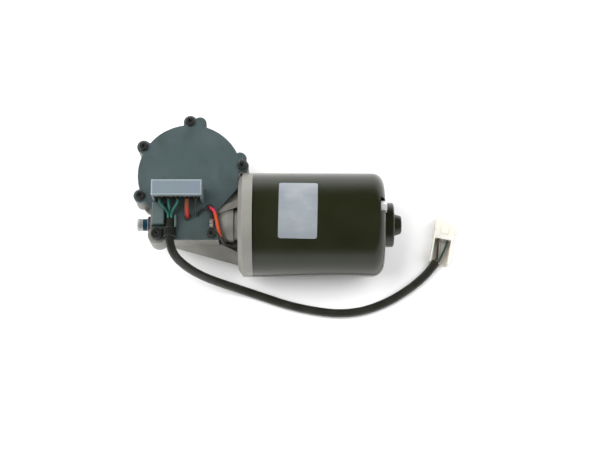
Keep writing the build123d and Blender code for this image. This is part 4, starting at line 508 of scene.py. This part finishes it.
def adjuster_steel():
    """Bright screw with a ring of sealing paint."""
    bare_metal = 0.7
    f = Finish("adjuster_steel", (0.46, 0.475, 0.47), 0.34, metal=bare_metal)
    f.round_edges(0.0003)
    ring_x, ring_half, ragged = -0.0362, 0.0018, 0.0012
    paint = f.node("ShaderNodeMath", operation="COMPARE")
    paint.inputs[1].default_value = ring_x
    paint.inputs[2].default_value = ring_half
    wobble = f.node("ShaderNodeMath", operation="MULTIPLY_ADD")
    f.link(f.band(f.noise(260, 3), 0.0, 1.0, -0.5, 0.5), wobble.inputs[0])
    wobble.inputs[1].default_value = ragged
    f.link(f.axis_value("X"), wobble.inputs[2])
    f.link(wobble.outputs["Value"], paint.inputs[0])
    f.mottle((0.28, 0.28, 0.27), f.noise(160, 3), 0.5, 0.75, 0.6)
    f.stain((0.001, 0.034, 0.056), paint.outputs["Value"])
    dull = f.node("ShaderNodeMath", operation="MULTIPLY_ADD")
    dull.inputs[1].default_value = -bare_metal
    dull.inputs[2].default_value = bare_metal
    f.link(paint.outputs["Value"], dull.inputs[0])
    f.link(dull.outputs["Value"], f.shader.inputs["Metallic"])
    return f.material


def brush_lead_finish():
    """Red insulation, pink at the lid, orange further down, and black as painted shade where it runs into
    the shaded hollow at the grommet.
    """
    f = Finish("brush_lead", (0.46, 0.060, 0.014), 0.38)
    f.mottle((0.50, 0.018, 0.060), f.axis_value("Y"), -0.0340, -0.0300)
    f.mottle((0.34, 0.030, 0.012), f.noise(240, 3), 0.45, 0.7, 0.7)
    # Painted shade: the lead goes near black where it enters the shaded hollow.
    f.mottle((0.020, 0.020, 0.018), f.axis_value("X"), 0.0360, 0.0364)
    f.roughen(f.noise(300, 2), 0.32, 0.48)
    f.relief(f.noise(900, 2), 0.00006, 0.5)
    return f.material


def park_lead_finish():
    """Red sleeve with a coppery end at the terminal, darkened as painted shade under the hood."""
    f = Finish("park_lead", (0.34, 0.028, 0.016), 0.42)
    # Coppery end, darkened as painted shade under the hood.
    f.mottle((0.17, 0.065, 0.022), f.axis_value("Z"), 0.0448, 0.0456)
    f.mottle((0.27, 0.022, 0.016), f.noise(240, 3), 0.45, 0.7, 0.7)
    f.roughen(f.noise(300, 2), 0.34, 0.50)
    f.relief(f.noise(900, 2), 0.00006, 0.5)
    return f.material


def plug_lead_finish():
    """Four leads in the plug: dark and green above, white and red below."""
    f = Finish("plug_leads", (0.60, 0.58, 0.52), 0.40)
    turn = f.node("ShaderNodeVectorMath", operation="DOT_PRODUCT")
    f.link(f.place, turn.inputs[0])
    turn.inputs[1].default_value = (math.cos(PLUG_TURN), -math.sin(PLUG_TURN), 0.0)
    middle = PLUG_X * math.cos(PLUG_TURN) - PLUG_Y * math.sin(PLUG_TURN)
    crisp = 0.0001
    right = f.band(turn.outputs["Value"], middle - crisp, middle + crisp)
    upper = f.band(f.axis_value("Z"), PLUG_Z - crisp, PLUG_Z + crisp)
    f.stain((0.40, 0.030, 0.022), right)
    f.stain((0.012, 0.050, 0.034), f.times(right, upper))
    left_upper = f.node("ShaderNodeMath", operation="SUBTRACT")
    f.link(upper, left_upper.inputs[0])
    f.link(f.times(right, upper), left_upper.inputs[1])
    f.stain((0.022, 0.024, 0.020), left_upper.outputs["Value"])
    f.roughen(f.noise(300, 2), 0.32, 0.48)
    f.relief(f.noise(900, 2), 0.00006, 0.5)
    return f.material


def tag_tin():
    """Tin on the tag, darker round the screw."""
    f = Finish("tag_tin", (0.60, 0.60, 0.575), 0.34, metal=0.8)
    f.round_edges(0.0002)
    f.stain((0.05, 0.06, 0.05), f.band(f.axis_value("Y"), -0.0440, -0.0428, 0.92, 0.0))
    f.mottle((0.34, 0.335, 0.31), f.noise(260, 3), 0.45, 0.7, 0.7)
    f.roughen(f.noise(300, 3), 0.28, 0.50)
    f.relief(f.noise(1200, 2), 0.00004, 0.5)
    return f.material


def zinc_plating():
    """Bright zinc on the tie bolts, a little clouded."""
    f = Finish("bright_zinc", (0.66, 0.67, 0.665), 0.32, metal=0.45)
    f.round_edges(0.0003)
    f.mottle((0.50, 0.51, 0.52), f.noise(200, 3), 0.45, 0.7, 0.7)
    # Painted highlight: much lighter sharp edges.
    f.highlight_edges((0.85, 0.86, 0.86), 0.0005, 0.8)
    f.roughen(f.noise(260, 3), 0.26, 0.42)
    f.relief(f.noise(1400, 2), 0.00003, 0.5)
    return f.material


def label_foil():
    """Bare silvery foil, a little clouded, with a fine grain along the can."""
    f = Finish("label_foil", (0.268, 0.296, 0.316), 0.34, metal=0.25)
    f.mottle((0.225, 0.243, 0.282), f.noise(26, 3, (1.0, 2.4, 1.0)), 0.40, 0.62, 0.8)
    f.mottle((0.36, 0.375, 0.38), f.noise(60, 3), 0.50, 0.72, 0.6)
    f.roughen(f.noise(120, 3, (0.2, 2.0, 2.0)), 0.28, 0.44)
    f.relief(f.noise(900, 2, (0.15, 1.6, 1.6)), 0.00002, 0.6)
    f.relief(f.noise(45, 2), 0.0003, 0.12)
    return f.material


def floor_finish():
    """White paper that glows with distance, so that it stays white far from the lamps."""
    near, far, glow = 0.7, 1.6, 0.9
    f = Finish("floor_paper", (0.95, 0.95, 0.95), 0.9)
    f.stain((0.93, 0.93, 0.93), f.noise(3, 2))
    reach = f.node("ShaderNodeVectorMath", operation="LENGTH")
    f.link(f.place, reach.inputs[0])
    f.shader.inputs["Emission Color"].default_value = (1, 1, 1, 1)
    f.link(f.band(reach.outputs["Value"], near, far, 0.0, glow), f.shader.inputs["Emission Strength"])
    return f.material


FINISHES = {
    "cast_aluminium": cast_aluminium(),
    "lid_plastic": lid_plastic(),
    "hood_plastic": hood_plastic(),
    "terminal_plastic": moulded("terminal_plastic", (0.055, 0.065, 0.040), (0.035, 0.040, 0.028), 0.5),
    "black_steel": black_oxide(),
    "gasket": moulded("gasket", (0.40, 0.40, 0.37), (0.28, 0.28, 0.25), 0.8),
    "steel": machined("steel", (0.56, 0.56, 0.55), (0.40, 0.395, 0.38), 0.30),
    "spring_steel": machined("spring_steel", (0.42, 0.42, 0.41), (0.28, 0.27, 0.26), 0.32),
    "can_paint": can_paint(),
    "magnet": moulded("magnet", (0.055, 0.055, 0.058), (0.03, 0.03, 0.03), 0.7),
    "bronze": machined("bronze", (0.42, 0.27, 0.13), (0.26, 0.16, 0.08), 0.5),
    "brass": machined("brass", (0.62, 0.45, 0.18), (0.44, 0.30, 0.12), 0.32, "Y"),
    "copper": machined("copper", (0.62, 0.27, 0.15), (0.40, 0.16, 0.09), 0.34),
    "enamel_wire": enamel_wire(),
    "core_steel": laminations(),
    "wheel_nylon": moulded("wheel_nylon", (0.56, 0.51, 0.37), (0.45, 0.40, 0.27), 0.42),
    "insulation": moulded("insulation", (0.13, 0.06, 0.03), (0.09, 0.04, 0.02), 0.5),
    "carbon": moulded("carbon", (0.03, 0.03, 0.031), (0.05, 0.04, 0.035), 0.6),
    "rubber": rubber_finish(),
    "cable_sheath": cable_finish(),
    "green_wire": wire_finish("green_wire", (0.022, 0.125, 0.092), (0.010, 0.055, 0.042)),
    "red_wire": wire_finish("red_wire", (0.50, 0.045, 0.022), (0.36, 0.03, 0.03)),
    "black_wire": wire_finish("black_wire", (0.018, 0.020, 0.017), (0.035, 0.04, 0.03)),
    "tin": machined("tin", (0.72, 0.70, 0.67), (0.50, 0.48, 0.45), 0.34, "Y"),
    "plug_nylon": plug_nylon(),
}


def dress(obj, material):
    """Gives a piece its finish in every material slot."""
    if not obj.material_slots:
        obj.data.materials.append(material)
    for place in obj.material_slots:
        place.material = material


# Nodes that look different from the other nodes of their slot
OWN_FINISHES = {
    "lock_nut": moulded("dark_nut", (0.060, 0.048, 0.062), (0.030, 0.026, 0.034), 0.36),
    "red_brush_lead": brush_lead_finish(),
    "red_sleeve_lead": park_lead_finish(),
    "plug_leads": plug_lead_finish(),
    "earth_tag": tag_tin(),
    "tie_bolts": zinc_plating(),
}
slot_of = {entry["node"]: entry["material_slot"] for entry in frame["record"]["subparts"]}
for node_name, node_object in nodes.items():
    dress(node_object, OWN_FINISHES.get(node_name) or FINISHES[slot_of[node_name]])
dress(sheath, FINISHES["cable_sheath"])
dress(floor, floor_finish())


# ---------------------------------------------------------------- added pieces
def put(name, mesh, body, material, smooth=35):
    """A finished mesh that rides a body, with its own slot and finish."""
    mesh.shade_smooth()
    mesh.set_sharp_from_angle(angle=math.radians(smooth))
    obj = bpy.data.objects.new(name, mesh)
    bpy.context.collection.objects.link(obj)
    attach(obj, body)
    dress(obj, material)
    return obj


def plain_mesh(name, bm):
    """A mesh out of a bmesh."""
    mesh = bpy.data.meshes.new(name)
    bm.to_mesh(mesh)
    bm.free()
    return mesh


def solid(name, bm):
    """A mesh out of a bmesh, with its faces turned outwards."""
    bmesh.ops.recalc_face_normals(bm, faces=bm.faces)
    return plain_mesh(name, bm)


def tube(bm, rings):
    """Joins rings of points into a tube and closes both ends."""
    rows = [[bm.verts.new(point) for point in ring] for ring in rings]
    for low, high in zip(rows, rows[1:]):
        for step in range(len(low)):
            after = (step + 1) % len(low)
            bm.faces.new((low[step], low[after], high[after], high[step]))
    bm.faces.new(rows[0][::-1])
    bm.faces.new(rows[-1])


def turned(profile, place, segments=48):
    """A closed body of revolution from (radius, height) pairs in mm, put in place by a matrix."""
    turns = [2 * math.pi * step / segments for step in range(segments)]
    bm = bmesh.new()
    tube(
        bm,
        [
            [(radius * MM * math.cos(turn), radius * MM * math.sin(turn), height * MM) for turn in turns]
            for radius, height in profile
        ],
    )
    bm.transform(place)
    return bm


def merged(parts):
    """Several bmeshes as one."""
    whole = bmesh.new()
    for part in parts:
        mesh = plain_mesh("part", part)
        whole.from_mesh(mesh)
        bpy.data.meshes.remove(mesh)
    return whole


def at(x, y, z, axis="Z"):
    """Matrix that stands a piece at a point in mm, pointing along an axis."""
    turn = {
        "Z": Matrix.Identity(4),
        "X": Matrix.Rotation(math.pi / 2, 4, "Y"),
        "Y": Matrix.Rotation(-math.pi / 2, 4, "X"),
    }[axis]
    return Matrix.Translation((x * MM, y * MM, z * MM)) @ turn


def brush_spring(number, angle):
    """Round-wire spring with closed ends behind a brush."""
    low, high, coil_r, wire_r = 25.57, 31.0, 2.2, 0.4
    turns, steps, round_steps = 4.6, 130, 12
    closed_ends = 0.45  # how much closer the coils lie at both ends
    out = Vector((0, math.cos(math.radians(angle)), math.sin(math.radians(angle))))
    side = AXES["X"]
    other = out.cross(side)
    middle = Vector((BRUSH_X * MM, MOTOR_Y, AXIS_Z))
    corners = [2 * math.pi * corner / round_steps for corner in range(round_steps)]
    rings = []
    for step in range(steps + 1):
        share = step / steps
        climb = (1 - closed_ends) * share + closed_ends * (3 * share**2 - 2 * share**3)
        turn = 2 * math.pi * turns * share
        ray = side * math.cos(turn) + other * math.sin(turn)
        centre = middle + (out * (low + (high - low) * climb) + ray * coil_r) * MM
        spokes = [ray * math.cos(around) + out * math.sin(around) for around in corners]
        rings.append([centre + spoke * wire_r * MM for spoke in spokes])
    bm = bmesh.new()
    tube(bm, rings)
    name = f"coil_spring_{number}"
    node = f"brush_spring_{number}"
    spring = put(name, solid(name, bm), "case", FINISHES[slot_of[node]])
    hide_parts(node)
    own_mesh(spring)
    return spring


def label():
    """Thin foil label bent round the can, with rounded corners and a slight slant."""
    can_r = CAN_R / MM
    low_x, high_x = 71.9, 102.5
    low_s, high_s = (math.radians(angle) * can_r for angle in (-27.0, 39.7))
    corner = 1.6
    slant = math.radians(-1.1)
    stand_off, ripple, ripple_x, ripple_s = 0.14, 0.02, 0.9, 0.5
    thickness = 0.2
    rows, columns = 56, 24
    middle_x = (low_x + high_x) / 2
    middle_s = (low_s + high_s) / 2
    bm = bmesh.new()
    grid = []
    for row in range(rows + 1):
        s = low_s + (high_s - low_s) * row / rows
        near = min(s - low_s, high_s - s)
        inset = corner - math.sqrt(max(0.0, corner**2 - (corner - near) ** 2)) if near < corner else 0.0
        line = []
        for column in range(columns + 1):
            x = low_x + inset + (high_x - low_x - 2 * inset) * column / columns
            rise = stand_off + ripple * math.sin(x * ripple_x) * math.sin(s * ripple_s)
            across = x - middle_x
            along = s - middle_s
            around = (middle_s + along * math.cos(slant) + across * math.sin(slant)) / can_r
            radius = CAN_R + rise * MM
            place = (
                (middle_x + across * math.cos(slant) - along * math.sin(slant)) * MM,
                MOTOR_Y + radius * math.sin(around),
                AXIS_Z + radius * math.cos(around),
            )
            line.append(bm.verts.new(place))
        grid.append(line)
    for low, high in zip(grid, grid[1:]):
        for column in range(columns):
            bm.faces.new((low[column], low[column + 1], high[column + 1], high[column]))
    rim = [edge for edge in bm.edges if edge.is_boundary]
    under = {}
    for vert in list(bm.verts):
        out = Vector((0, vert.co.y - MOTOR_Y, vert.co.z - AXIS_Z)).normalized()
        under[vert] = bm.verts.new(vert.co - out * thickness * MM)
    for face in list(bm.faces):
        bm.faces.new([under[vert] for vert in reversed(face.verts)])
    for edge in rim:
        start, end = edge.verts
        bm.faces.new((start, end, under[end], under[start]))
    return put("can_label", solid("can_label", bm), "case", label_foil())


def dowel():
    """End of the steel dowel that lines the lid up on the case, in the right lug."""
    profile = ((1.45, -1.0), (1.45, 0.25), (1.15, 0.55), (0.45, 0.55), (0.3, 0.3))
    bm = turned(profile, at(41.2, 12.7, LID_TOP))
    return put("lid_dowel", solid("lid_dowel", bm), "case", FINISHES["steel"])


def lid_grommets():
    """Rubber collars round the two leads where they pass through the lid."""
    holes = ((-1.2, -34.9), (16.5, -27.0))
    profile = ((1.15, -1.0), (2.5, -1.0), (2.9, 0.05), (2.9, 0.6), (2.5, 1.0), (1.5, 1.15), (1.15, 0.9))
    collars = merged([turned(profile, at(x, y, LID_TOP)) for x, y in holes])
    return put("lid_grommets", solid("lid_grommets", collars), "case", FINISHES["rubber"])


def tag_crimps():
    """Folded crimp bands on the tag's barrel."""
    barrel_x, barrel_z, hole_r = 18.0, 34.7, 0.6
    inset, chamfer = 0.2, 0.25
    bands = []
    for start, length, radius in ((-38.9, 1.7, 1.98), (-41.7, 1.5, 1.9), (-44.2, 1.2, 1.85)):
        profile = (
            (hole_r, 0.0),
            (radius - inset, 0.0),
            (radius, chamfer),
            (radius, length - chamfer),
            (radius - inset, length),
            (hole_r, length),
        )
        bands.append(turned(profile, at(barrel_x, start, barrel_z, "Y"), segments=32))
    return put("tag_crimps", solid("tag_crimps", merged(bands)), "case", FINISHES["tin"])


def welded(node):
    """A copy of a CAD mesh with its doubled points made one."""
    bm = bmesh.new()
    bm.from_mesh(nodes[node].data)
    bmesh.ops.remove_doubles(bm, verts=bm.verts, dist=WELD)
    return bm


def slice_at(bm, axis, place, **clear):
    """Cuts edges and faces where a plane across an axis meets them, at a place in mm."""
    everything = list(bm.verts) + list(bm.edges) + list(bm.faces)
    plane = dict(plane_co=AXES[axis] * place * MM, plane_no=AXES[axis])
    bmesh.ops.bisect_plane(bm, geom=everything, dist=ON_PLANE, **plane, **clear)


def sleeve(name, grow, trims, material):
    """A sleeve over part of the second red lead: its surface, swollen by some mm, trimmed and closed.

    Each trim is an axis, a place on it in mm, and whether the sleeve is above or below that.
    """
    bm = welded("red_brush_lead")
    bm.normal_update()
    for vert, shift in [(vert, vert.normal * grow * MM) for vert in bm.verts]:
        vert.co += shift
    for axis, place, side in trims:
        slice_at(bm, axis, place, clear_inner=side == "above", clear_outer=side == "below")
        bmesh.ops.holes_fill(bm, edges=[edge for edge in bm.edges if edge.is_boundary], sides=0)
    return put(name, solid(name, bm), "case", material, smooth=50)


def cut_out(node, axis, low, high):
    """A CAD mesh without the stretch from low to high in mm along an axis, closed at the cuts."""
    bm = welded(node)
    slice_at(bm, axis, low)
    slice_at(bm, axis, high)
    gone = [face for face in bm.faces if low < face.calc_center_median().dot(AXES[axis]) / MM < high]
    bmesh.ops.delete(bm, geom=gone, context="FACES")
    bmesh.ops.holes_fill(bm, edges=bm.edges, sides=0)
    return bm


class Growth:
    """A geometry node tree with named inputs that ends in real geometry with its material."""

    def __init__(self, name, **inputs):
        self.group = bpy.data.node_groups.new(name, "GeometryNodeTree")
        face = self.group.interface
        face.new_socket(name="Seeds", in_out="INPUT", socket_type="NodeSocketGeometry")
        for socket, kind in inputs.items():
            face.new_socket(name=socket, in_out="INPUT", socket_type="NodeSocket" + kind)
        face.new_socket(name="Material", in_out="INPUT", socket_type="NodeSocketMaterial")
        face.new_socket(name="Grown", in_out="OUTPUT", socket_type="NodeSocketGeometry")
        self.given = self.node("NodeGroupInput").outputs
        self.result = self.node("NodeGroupOutput").inputs[0]

    def node(self, kind, **settings):
        """A new geometry node with these settings."""
        made = self.group.nodes.new(kind)
        for key, value in settings.items():
            setattr(made, key, value)
        return made

    def link(self, source, target):
        """Feeds an input from an output or with a number."""
        if isinstance(source, (int, float)):
            target.default_value = source
        else:
            self.group.links.new(source, target)

    def math(self, operation, first, second=0.0):
        """The result of one operation on one or two values."""
        made = self.node("ShaderNodeMath", operation=operation)
        self.link(first, made.inputs[0])
        self.link(second, made.inputs[1])
        return made.outputs[0]

    def on_seeds(self, instance, scale=None):
        """The instance on every seed, made real and given its material."""
        spread = self.node("GeometryNodeInstanceOnPoints")
        self.link(self.given["Seeds"], spread.inputs["Points"])
        self.link(instance, spread.inputs["Instance"])
        if scale:
            self.link(scale, spread.inputs["Scale"])
        real = self.node("GeometryNodeRealizeInstances")
        self.link(spread.outputs[0], real.inputs[0])
        paint = self.node("GeometryNodeSetMaterial")
        self.link(real.outputs[0], paint.inputs["Geometry"])
        self.link(self.given["Material"], paint.inputs["Material"])
        self.link(paint.outputs[0], self.result)

    def mesh(self, seeds, material, sizes=None, **values):
        """Plain mesh of the growth on seed points in mm, each with a size of its own if given."""
        seed_mesh = bpy.data.meshes.new("seeds")
        seed_mesh.from_pydata([(x * MM, y * MM, z * MM) for x, y, z in seeds], [], [])
        if sizes:
            own = seed_mesh.attributes.new("size", "FLOAT", "POINT")
            own.data.foreach_set("value", sizes)
        holder = bpy.data.objects.new("seeds", seed_mesh)
        bpy.context.collection.objects.link(holder)
        modifier = holder.modifiers.new("growth", "NODES")
        modifier.node_group = self.group
        values["Material"] = material
        for item in self.group.interface.items_tree:
            if item.in_out == "INPUT" and item.name in values:
                modifier[item.identifier] = values[item.name]
        finished = holder.evaluated_get(bpy.context.evaluated_depsgraph_get())
        grown = bpy.data.meshes.new_from_object(finished)
        bpy.data.objects.remove(holder)
        return grown


def knurl_growth():
    """Ring of fine upright ridges round a screw head."""
    g = Growth("knurl", Ridges="Int", Radius="Float", Width="Float", Height="Float")
    ridge = g.node("GeometryNodeMeshCylinder")
    ridge.inputs["Vertices"].default_value = 6
    g.link(g.math("DIVIDE", g.given["Width"], 2.0), ridge.inputs["Radius"])
    g.link(g.given["Height"], ridge.inputs["Depth"])
    ring = g.node("GeometryNodeMeshCircle")
    g.link(g.given["Ridges"], ring.inputs["Vertices"])
    g.link(g.given["Radius"], ring.inputs["Radius"])
    row = g.node("GeometryNodeInstanceOnPoints")
    g.link(ring.outputs[0], row.inputs["Points"])
    g.link(ridge.outputs["Mesh"], row.inputs["Instance"])
    size = g.node("GeometryNodeInputNamedAttribute", data_type="FLOAT")
    size.inputs["Name"].default_value = "size"
    spread = g.node("ShaderNodeCombineXYZ")
    g.link(size.outputs[0], spread.inputs["X"])
    g.link(size.outputs[0], spread.inputs["Y"])
    spread.inputs["Z"].default_value = 1.0
    g.on_seeds(row.outputs[0], spread.outputs[0])
    return g


def thread_growth():
    """Helical V thread on a tube that starts at each seed and runs up from it."""
    floats = dict.fromkeys(("Radius", "Depth", "Pitch", "Length"), "Float")
    g = Growth("thread", Around="Int", Along="Int", **floats)
    grid = g.node("GeometryNodeMeshGrid")
    g.link(g.given["Along"], grid.inputs["Vertices X"])
    g.link(g.given["Around"], grid.inputs["Vertices Y"])
    split = g.node("ShaderNodeSeparateXYZ")
    g.link(g.node("GeometryNodeInputPosition").outputs[0], split.inputs[0])
    along = g.math("ADD", split.outputs["X"], 0.5)
    around = g.math("ADD", split.outputs["Y"], 0.5)
    turn = g.math("MULTIPLY", around, 2 * math.pi)
    height = g.math("MULTIPLY", along, g.given["Length"])
    phase = g.math("SUBTRACT", g.math("DIVIDE", height, g.given["Pitch"]), around)
    groove = g.math("MULTIPLY", g.math("PINGPONG", phase, 0.5), 2.0)
    left = g.math("MINIMUM", along, g.math("SUBTRACT", 1.0, along))
    left_length = g.math("MULTIPLY", left, g.given["Length"])
    fade = g.math("MINIMUM", g.math("DIVIDE", left_length, g.given["Pitch"]), 1.0)
    cut = g.math("MULTIPLY", g.math("MULTIPLY", groove, fade), g.given["Depth"])
    radius = g.math("SUBTRACT", g.given["Radius"], cut)
    point = g.node("ShaderNodeCombineXYZ")
    g.link(g.math("MULTIPLY", radius, g.math("COSINE", turn)), point.inputs["X"])
    g.link(g.math("MULTIPLY", radius, g.math("SINE", turn)), point.inputs["Y"])
    g.link(height, point.inputs["Z"])
    bend = g.node("GeometryNodeSetPosition")
    g.link(grid.outputs["Mesh"], bend.inputs["Geometry"])
    g.link(point.outputs[0], bend.inputs["Position"])
    join = g.node("GeometryNodeMergeByDistance")
    g.link(bend.outputs[0], join.inputs["Geometry"])
    join.inputs["Distance"].default_value = WELD
    g.on_seeds(join.outputs[0])
    return g


def connector_growth():
    """The same object on every seed."""
    g = Growth("connectors", Connector="Object")
    info = g.node("GeometryNodeObjectInfo")
    g.link(g.given["Connector"], info.inputs["Object"])
    g.on_seeds(info.outputs["Geometry"])
    return g


def knurled_heads():
    """Ridges round the lid screws' heads."""
    head_middle = 1.3
    heads = (
        # place, height of the head's seat, size against the common head
        (42.05, 7.41, LID_TOP, 1.0),
        (-0.23, 44.4, LID_TOP, 1.0),
        (-37.65, 23.53, LID_TOP, 1.0),
        (-39.62, -17.23, LID_TOP, 1.0),
        (-25.7, -48.6, 34.2, 1.25),
        (18.0, -48.4, 33.8, 0.889),
    )
    seeds = [(x, y, seat + head_middle) for x, y, seat, _ in heads]
    sizes = [size for *_, size in heads]
    ridges = dict(Ridges=32, Radius=0.0036, Width=0.00034, Height=0.0024)
    black = FINISHES["black_steel"]
    mesh = knurl_growth().mesh(seeds, black, sizes, **ridges)
    return put("screw_knurls", mesh, "case", black, smooth=40)


def threaded(name, node, body, material, thread, centre, axis, low, high):
    """Stands for a CAD node: its own mesh with a thread, from low to high in mm along an axis."""
    around, steps_per_turn, overlap = 73, 14, 0.1
    length = (high - low + 2 * overlap) * MM
    steps = dict(Around=around, Along=int(length / thread["Pitch"] * steps_per_turn), Length=length)
    mesh = THREADS.mesh([(0, 0, 0)], material, **steps, **thread)
    mesh.transform(at(*(Vector(centre) + AXES[axis] * (low - overlap)), axis))
    rod = bmesh.new()
    rod.from_mesh(mesh)
    bmesh.ops.holes_fill(rod, edges=rod.edges, sides=0)
    rest = cut_out(node, axis, low, high)
    for part in (rest, rod):
        bmesh.ops.recalc_face_normals(part, faces=part.faces)
    obj = put(name, plain_mesh(name, merged([rest, rod])), body, material, smooth=40)
    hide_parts(node)
    return obj


def mounting_threads():
    """Threads in the three mounting holes, as thin sleeves in the bosses."""
    circle_r, bottom, wall = 36, 0.8, 0.4
    near_hole = 5.0
    sides = 48
    turns = [math.radians(angle) for angle in (90, 210, 330)]
    holes = [(circle_r * math.cos(turn), circle_r * math.sin(turn), bottom) for turn in turns]
    metal = FINISHES["cast_aluminium"]
    thread = dict(Radius=0.00341, Depth=0.00032, Pitch=0.00125, Length=0.0098)
    mesh = THREADS.mesh(holes, metal, Around=sides + 1, Along=110, **thread)
    bm = bmesh.new()
    bm.from_mesh(mesh)
    for x, y, _ in holes:
        centre = Vector((x * MM, y * MM, 0))
        ends = [edge for edge in bm.edges if edge.is_boundary]
        rims = [edge for edge in ends if (edge.verts[0].co - centre).xy.length < near_hole * MM]
        outer = {}
        columns = [[] for _ in range(sides)]
        for vert in [vert for edge in rims for vert in edge.verts]:
            if vert not in outer:
                out = vert.co - centre
                out.z = 0
                outer[vert] = bm.verts.new(vert.co + out.normalized() * wall * MM)
                side = round(math.atan2(out.y, out.x) / (2 * math.pi) * sides) % sides
                columns[side].append(outer[vert])
        for edge in rims:
            start, end = edge.verts
            bm.faces.new((start, end, outer[end], outer[start]))
        for pair in columns:
            pair.sort(key=lambda vert: vert.co.z)
        for (low, high), (low_after, high_after) in zip(columns, columns[1:] + columns[:1]):
            bm.faces.new((low, low_after, high_after, high))
    return put("mounting_threads", solid("mounting_threads", bm), "case", metal, smooth=40)


def receptacle():
    """Push-on receptacle: a strip curled over a blade, with its crimp barrel in front."""
    right = [(0.0, -0.60), (2.2, -0.60), (2.6, -0.38), (2.74, 0.08), (2.5, 0.52), (1.95, 0.74), (1.25, 0.60)]
    line = [(-x, z) for x, z in right[:0:-1]] + right
    half_thick, length = 0.17, 6.3
    inside, outside = [], []
    for number, (x, z) in enumerate(line):
        before = line[max(number - 1, 0)]
        after = line[min(number + 1, len(line) - 1)]
        run = Vector((after[0] - before[0], after[1] - before[1])).normalized()
        inside.append((x - run.y * half_thick, z + run.x * half_thick))
        outside.append((x + run.y * half_thick, z - run.x * half_thick))
    outline = inside + outside[::-1]
    bm = bmesh.new()
    ends = [[bm.verts.new((x * MM, y * MM, z * MM)) for x, z in outline] for y in (0.0, length)]
    for step in range(len(outline)):
        after = (step + 1) % len(outline)
        bm.faces.new((ends[0][step], ends[0][after], ends[1][after], ends[1][step]))
    for end in ends:
        for step in range(len(line) - 1):
            far = len(outline) - 1 - step
            bm.faces.new((end[step], end[step + 1], end[far - 1], end[far]))
    waist = ((1.55, -2.2), (1.42, -1.5), (1.55, -0.7))
    profile = ((1.12, -2.5), (1.45, -2.5), *waist, (1.45, -0.1), (1.0, 0.1))
    barrel = turned(profile, at(0, 0, 0, "Y"), segments=24)
    obj = bpy.data.objects.new("receptacle", solid("receptacle", merged([bm, barrel])))
    bpy.context.collection.objects.link(obj)
    return obj


def receptacles():
    """One receptacle on each of the five blades."""
    blade_xs = (-22.94, -15.62, -8.30, -0.98, 6.34)
    mouth_y, blade_z = -20.5, 46.0
    pattern = receptacle()
    # Brass darkened as painted shade under the hood.
    metal = machined("brass_in_painted_shade", (0.20, 0.15, 0.075), (0.10, 0.075, 0.045), 0.42, "Y")
    mesh = connector_growth().mesh([(x, mouth_y, blade_z) for x in blade_xs], metal, Connector=pattern)
    bpy.data.objects.remove(pattern)
    return put("receptacles", mesh, "case", metal, smooth=40)


label()
dowel()
lid_grommets()
for number, angle in ((1, -13), (2, 167), (3, 117)):
    brush_spring(number, angle)
tag_crimps()
knurled_heads()
receptacles()
THREADS = thread_growth()
threaded(
    "adjusting_screw_thread",
    "adjusting_screw",
    "case",
    adjuster_steel(),
    {"Radius": 0.005, "Depth": 0.00045, "Pitch": 0.001},
    centre=(0.0, MOTOR_Y / MM, AXIS_Z / MM),
    axis="X",
    low=-40.6,
    high=-34.2,
)
threaded(
    "output_stud_thread",
    "output_shaft",
    "output",
    FINISHES["steel"],
    {"Radius": 0.005, "Depth": 0.0007, "Pitch": 0.00125},
    centre=(0.0, 0.0, 0.0),
    axis="Z",
    low=-22.8,
    high=-17.4,
)
mounting_threads()
insulation_trims = [("Z", 34.4, "above"), ("Y", -28.6, "below")]
sleeve("brush_lead_sleeve", 0.42, insulation_trims, OWN_FINISHES["red_brush_lead"])
# A black rubber boot on the lead, put where the hollow by the end shield lies in shade; it stands in for
# that shade.
shade_boot_trims = [("Y", -50.0, "below"), ("Z", 31.0, "below"), ("X", 39.4, "below")]
sleeve("brush_lead_boot", 0.62, shade_boot_trims, FINISHES["rubber"])
